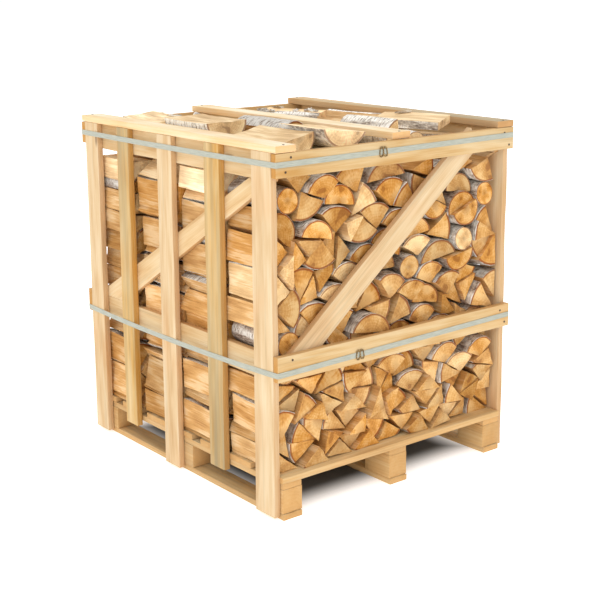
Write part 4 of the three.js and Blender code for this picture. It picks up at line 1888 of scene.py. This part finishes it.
@dataclass
class Studio:
    """A white floor with a painted shadow under the pallet, soft light and the camera.

    Attributes:
        lens: The camera's focal length on a 36 mm sensor.
        place: Where the camera stands.
        turn_deg: How it is turned about X, Y and Z.
        shift: Its lens's upright shift, in picture widths.
        sky: How strong the light from all round is.
        shadow_start: How far inside the pallet's outline the floor's painted shadow is darkest.
        shadow_end: How far inside it the painted shadow ends and the floor is white again.
        floor_glow: How strongly the white floor glows outside the painted shadow.
    """

    lens: float = 75.73
    place: Point = (-2.667, -3.387, 1.627)
    turn_deg: Point = (78.149, 0.405, -38.653)
    shift: float = -0.10
    sky: float = 1.03
    shadow_start: float = 0.18
    shadow_end: float = 0.03
    floor_glow: float = 0.6

    def build(self) -> None:
        """Add the floor, the sky, the lights and the camera."""
        self.lay_floor()
        world = bpy.data.worlds.new("soft_sky")
        world.use_nodes = True
        world.node_tree.nodes["Background"].inputs["Color"].default_value = (1, 1, 1, 1)
        world.node_tree.nodes["Background"].inputs["Strength"].default_value = self.sky
        bpy.context.scene.world = world
        self.add_light("key", (-4.0, -3.4, 3.2), 2.4, 46)
        self.add_light("fill", (3.5, 3.5, 3.4), 3.0, 25)

        camera = bpy.data.objects.new("camera", bpy.data.cameras.new("camera"))
        bpy.context.collection.objects.link(camera)
        camera.location = self.place
        camera.rotation_euler = [math.radians(turn) for turn in self.turn_deg]
        camera.data.lens = self.lens
        camera.data.sensor_width = 36
        camera.data.shift_y = self.shift
        bpy.context.scene.camera = camera
        bpy.context.scene.view_settings.view_transform = "Standard"

    def lay_floor(self) -> None:
        """Lay a sheet of glowing white acrylic with a painted shadow under the pallet: inside the outline
        its colour goes dark grey and its glow goes off.
        """
        deselect()
        bpy.ops.mesh.primitive_plane_add(size=40, location=(0, 0, -0.0005))
        floor = settle(active(), "floor")
        material, tree, shader = new_material("glowing_acrylic_painted_shadow")
        place = add_node(tree, "TexCoord").outputs["Object"]
        half = Vector(CAD_BOX[1]) * 0.5 - Vector(CAD_BOX[0]) * 0.5
        folded = add_node(tree, "VectorMath", {0: place}, operation="ABSOLUTE").outputs["Vector"]
        outside = add_node(tree, "VectorMath", {0: folded, 1: (half.x, half.y, 0.0)},
                           operation="SUBTRACT").outputs["Vector"]
        sides = add_node(tree, "SeparateXYZ", {"Vector": outside})
        reach = add_node(tree, "Math", {0: sides.outputs["X"], 1: sides.outputs["Y"]},
                         operation="MAXIMUM").outputs[0]
        # Painted shadow mask: one outside the pallet's outline, falling to nothing inside it.
        beyond_painted_shadow = add_node(tree, "MapRange", {"Value": reach, "From Min": -self.shadow_start,
                                          "From Max": -self.shadow_end},
                       interpolation_type="SMOOTHSTEP").outputs[0]
        # Painted shadow: the floor's colour turns dark grey and its glow turns off inside the pallet's
        # outline.
        white = add_node(tree, "Mix", {0: beyond_painted_shadow, 6: srgb("#55585c"), 7: srgb("#fbfbfb")},
                         data_type="RGBA")
        glow = add_node(tree, "Math", {0: beyond_painted_shadow, 1: self.floor_glow}, operation="MULTIPLY").outputs[0]
        tree.links.new(white.outputs[2], shader.inputs["Base Color"])
        tree.links.new(glow, shader.inputs["Emission Strength"])
        shader.inputs["Emission Color"].default_value = (1, 1, 1, 1)
        shader.inputs["Roughness"].default_value = 0.9
        floor.data.materials.append(material)

    def add_light(self, name: str, place: Point, size: float, power: float) -> None:
        """Add a square area light that faces the crate.

        Args:
            name: Its name.
            place: Where it hangs.
            size: Its side.
            power: Its power in watts.
        """
        light = bpy.data.lights.new(name, "AREA")
        light.size = size
        light.energy = power
        obj = bpy.data.objects.new(name, light)
        obj.location = place
        obj.rotation_euler = (Vector((0, 0, 0.5)) - Vector(place)).to_track_quat("-Z", "Y").to_euler()
        bpy.context.collection.objects.link(obj)


def main() -> None:
    """Build everything, in order."""
    logging.basicConfig(level=logging.INFO, format="%(message)s")
    Studio().build()
    pallet_finish = SawnBoard("pallet_timber", dark="#bd9058", mid="#dbb67e", pale="#e8cf9f",
                              edge="#d2a062")
    Timber(pallet_finish, "pallet_wood", pallet_boards()).build()
    Timber(SawnBoard("crate_spruce"), "crate_wood", crate_boards()).build()
    top_finish = SawnBoard("top_spruce", dark="#e6c796", mid="#f2dcb4", pale="#faead0",
                           edge="#dba766")
    tops = [Board(f"top_board_{place}", Run.Y, seed, lightness=1.03)
            for place, seed in (("left", 281), ("middle", 284))]
    Timber(top_finish, "crate_wood", tops).build()
    weathered = Board("top_board_right", Run.Y, 299, lightness=1.0, weathering=(0.55, 0.2))
    Timber(SawnBoard("weathered_spruce"), "weathered_wood", [weathered]).build()

    finishes = [SawnLogEnd("birch_sawn_end").build(), SplitFace("birch_split_face").build(),
                BirchBark("birch_bark").build()]
    low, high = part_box("log_row_1")
    pile = Woodpile(width=high.x - low.x)
    pile.split_masters(finishes)
    rows = LogRows(pile)
    rows.build()
    LooseLogs(pile, rows).build()
    for master in pile.masters:
        bpy.data.objects.remove(master, do_unlink=True)

    webbing = PolyesterStrap().build()
    Strap("strap_top", (1096, 1103, 1098, 1092), (0, 0, 0, 2)).build(webbing)
    Strap("strap_mid", (468, 486, 474, 458), (0, 4, 0, 12)).build(webbing)
    zinc = SteelWire("zinc_wire", clean="#a58d60", rust="#6b5030").build()
    WireBuckle("buckle_top").build(zinc)
    WireBuckle("buckle_mid").build(zinc)
    Nails().build(SteelWire("bare_nail", clean="#5b4c40", rust="#38291f").build())


if __name__ == "__main__":
    main()
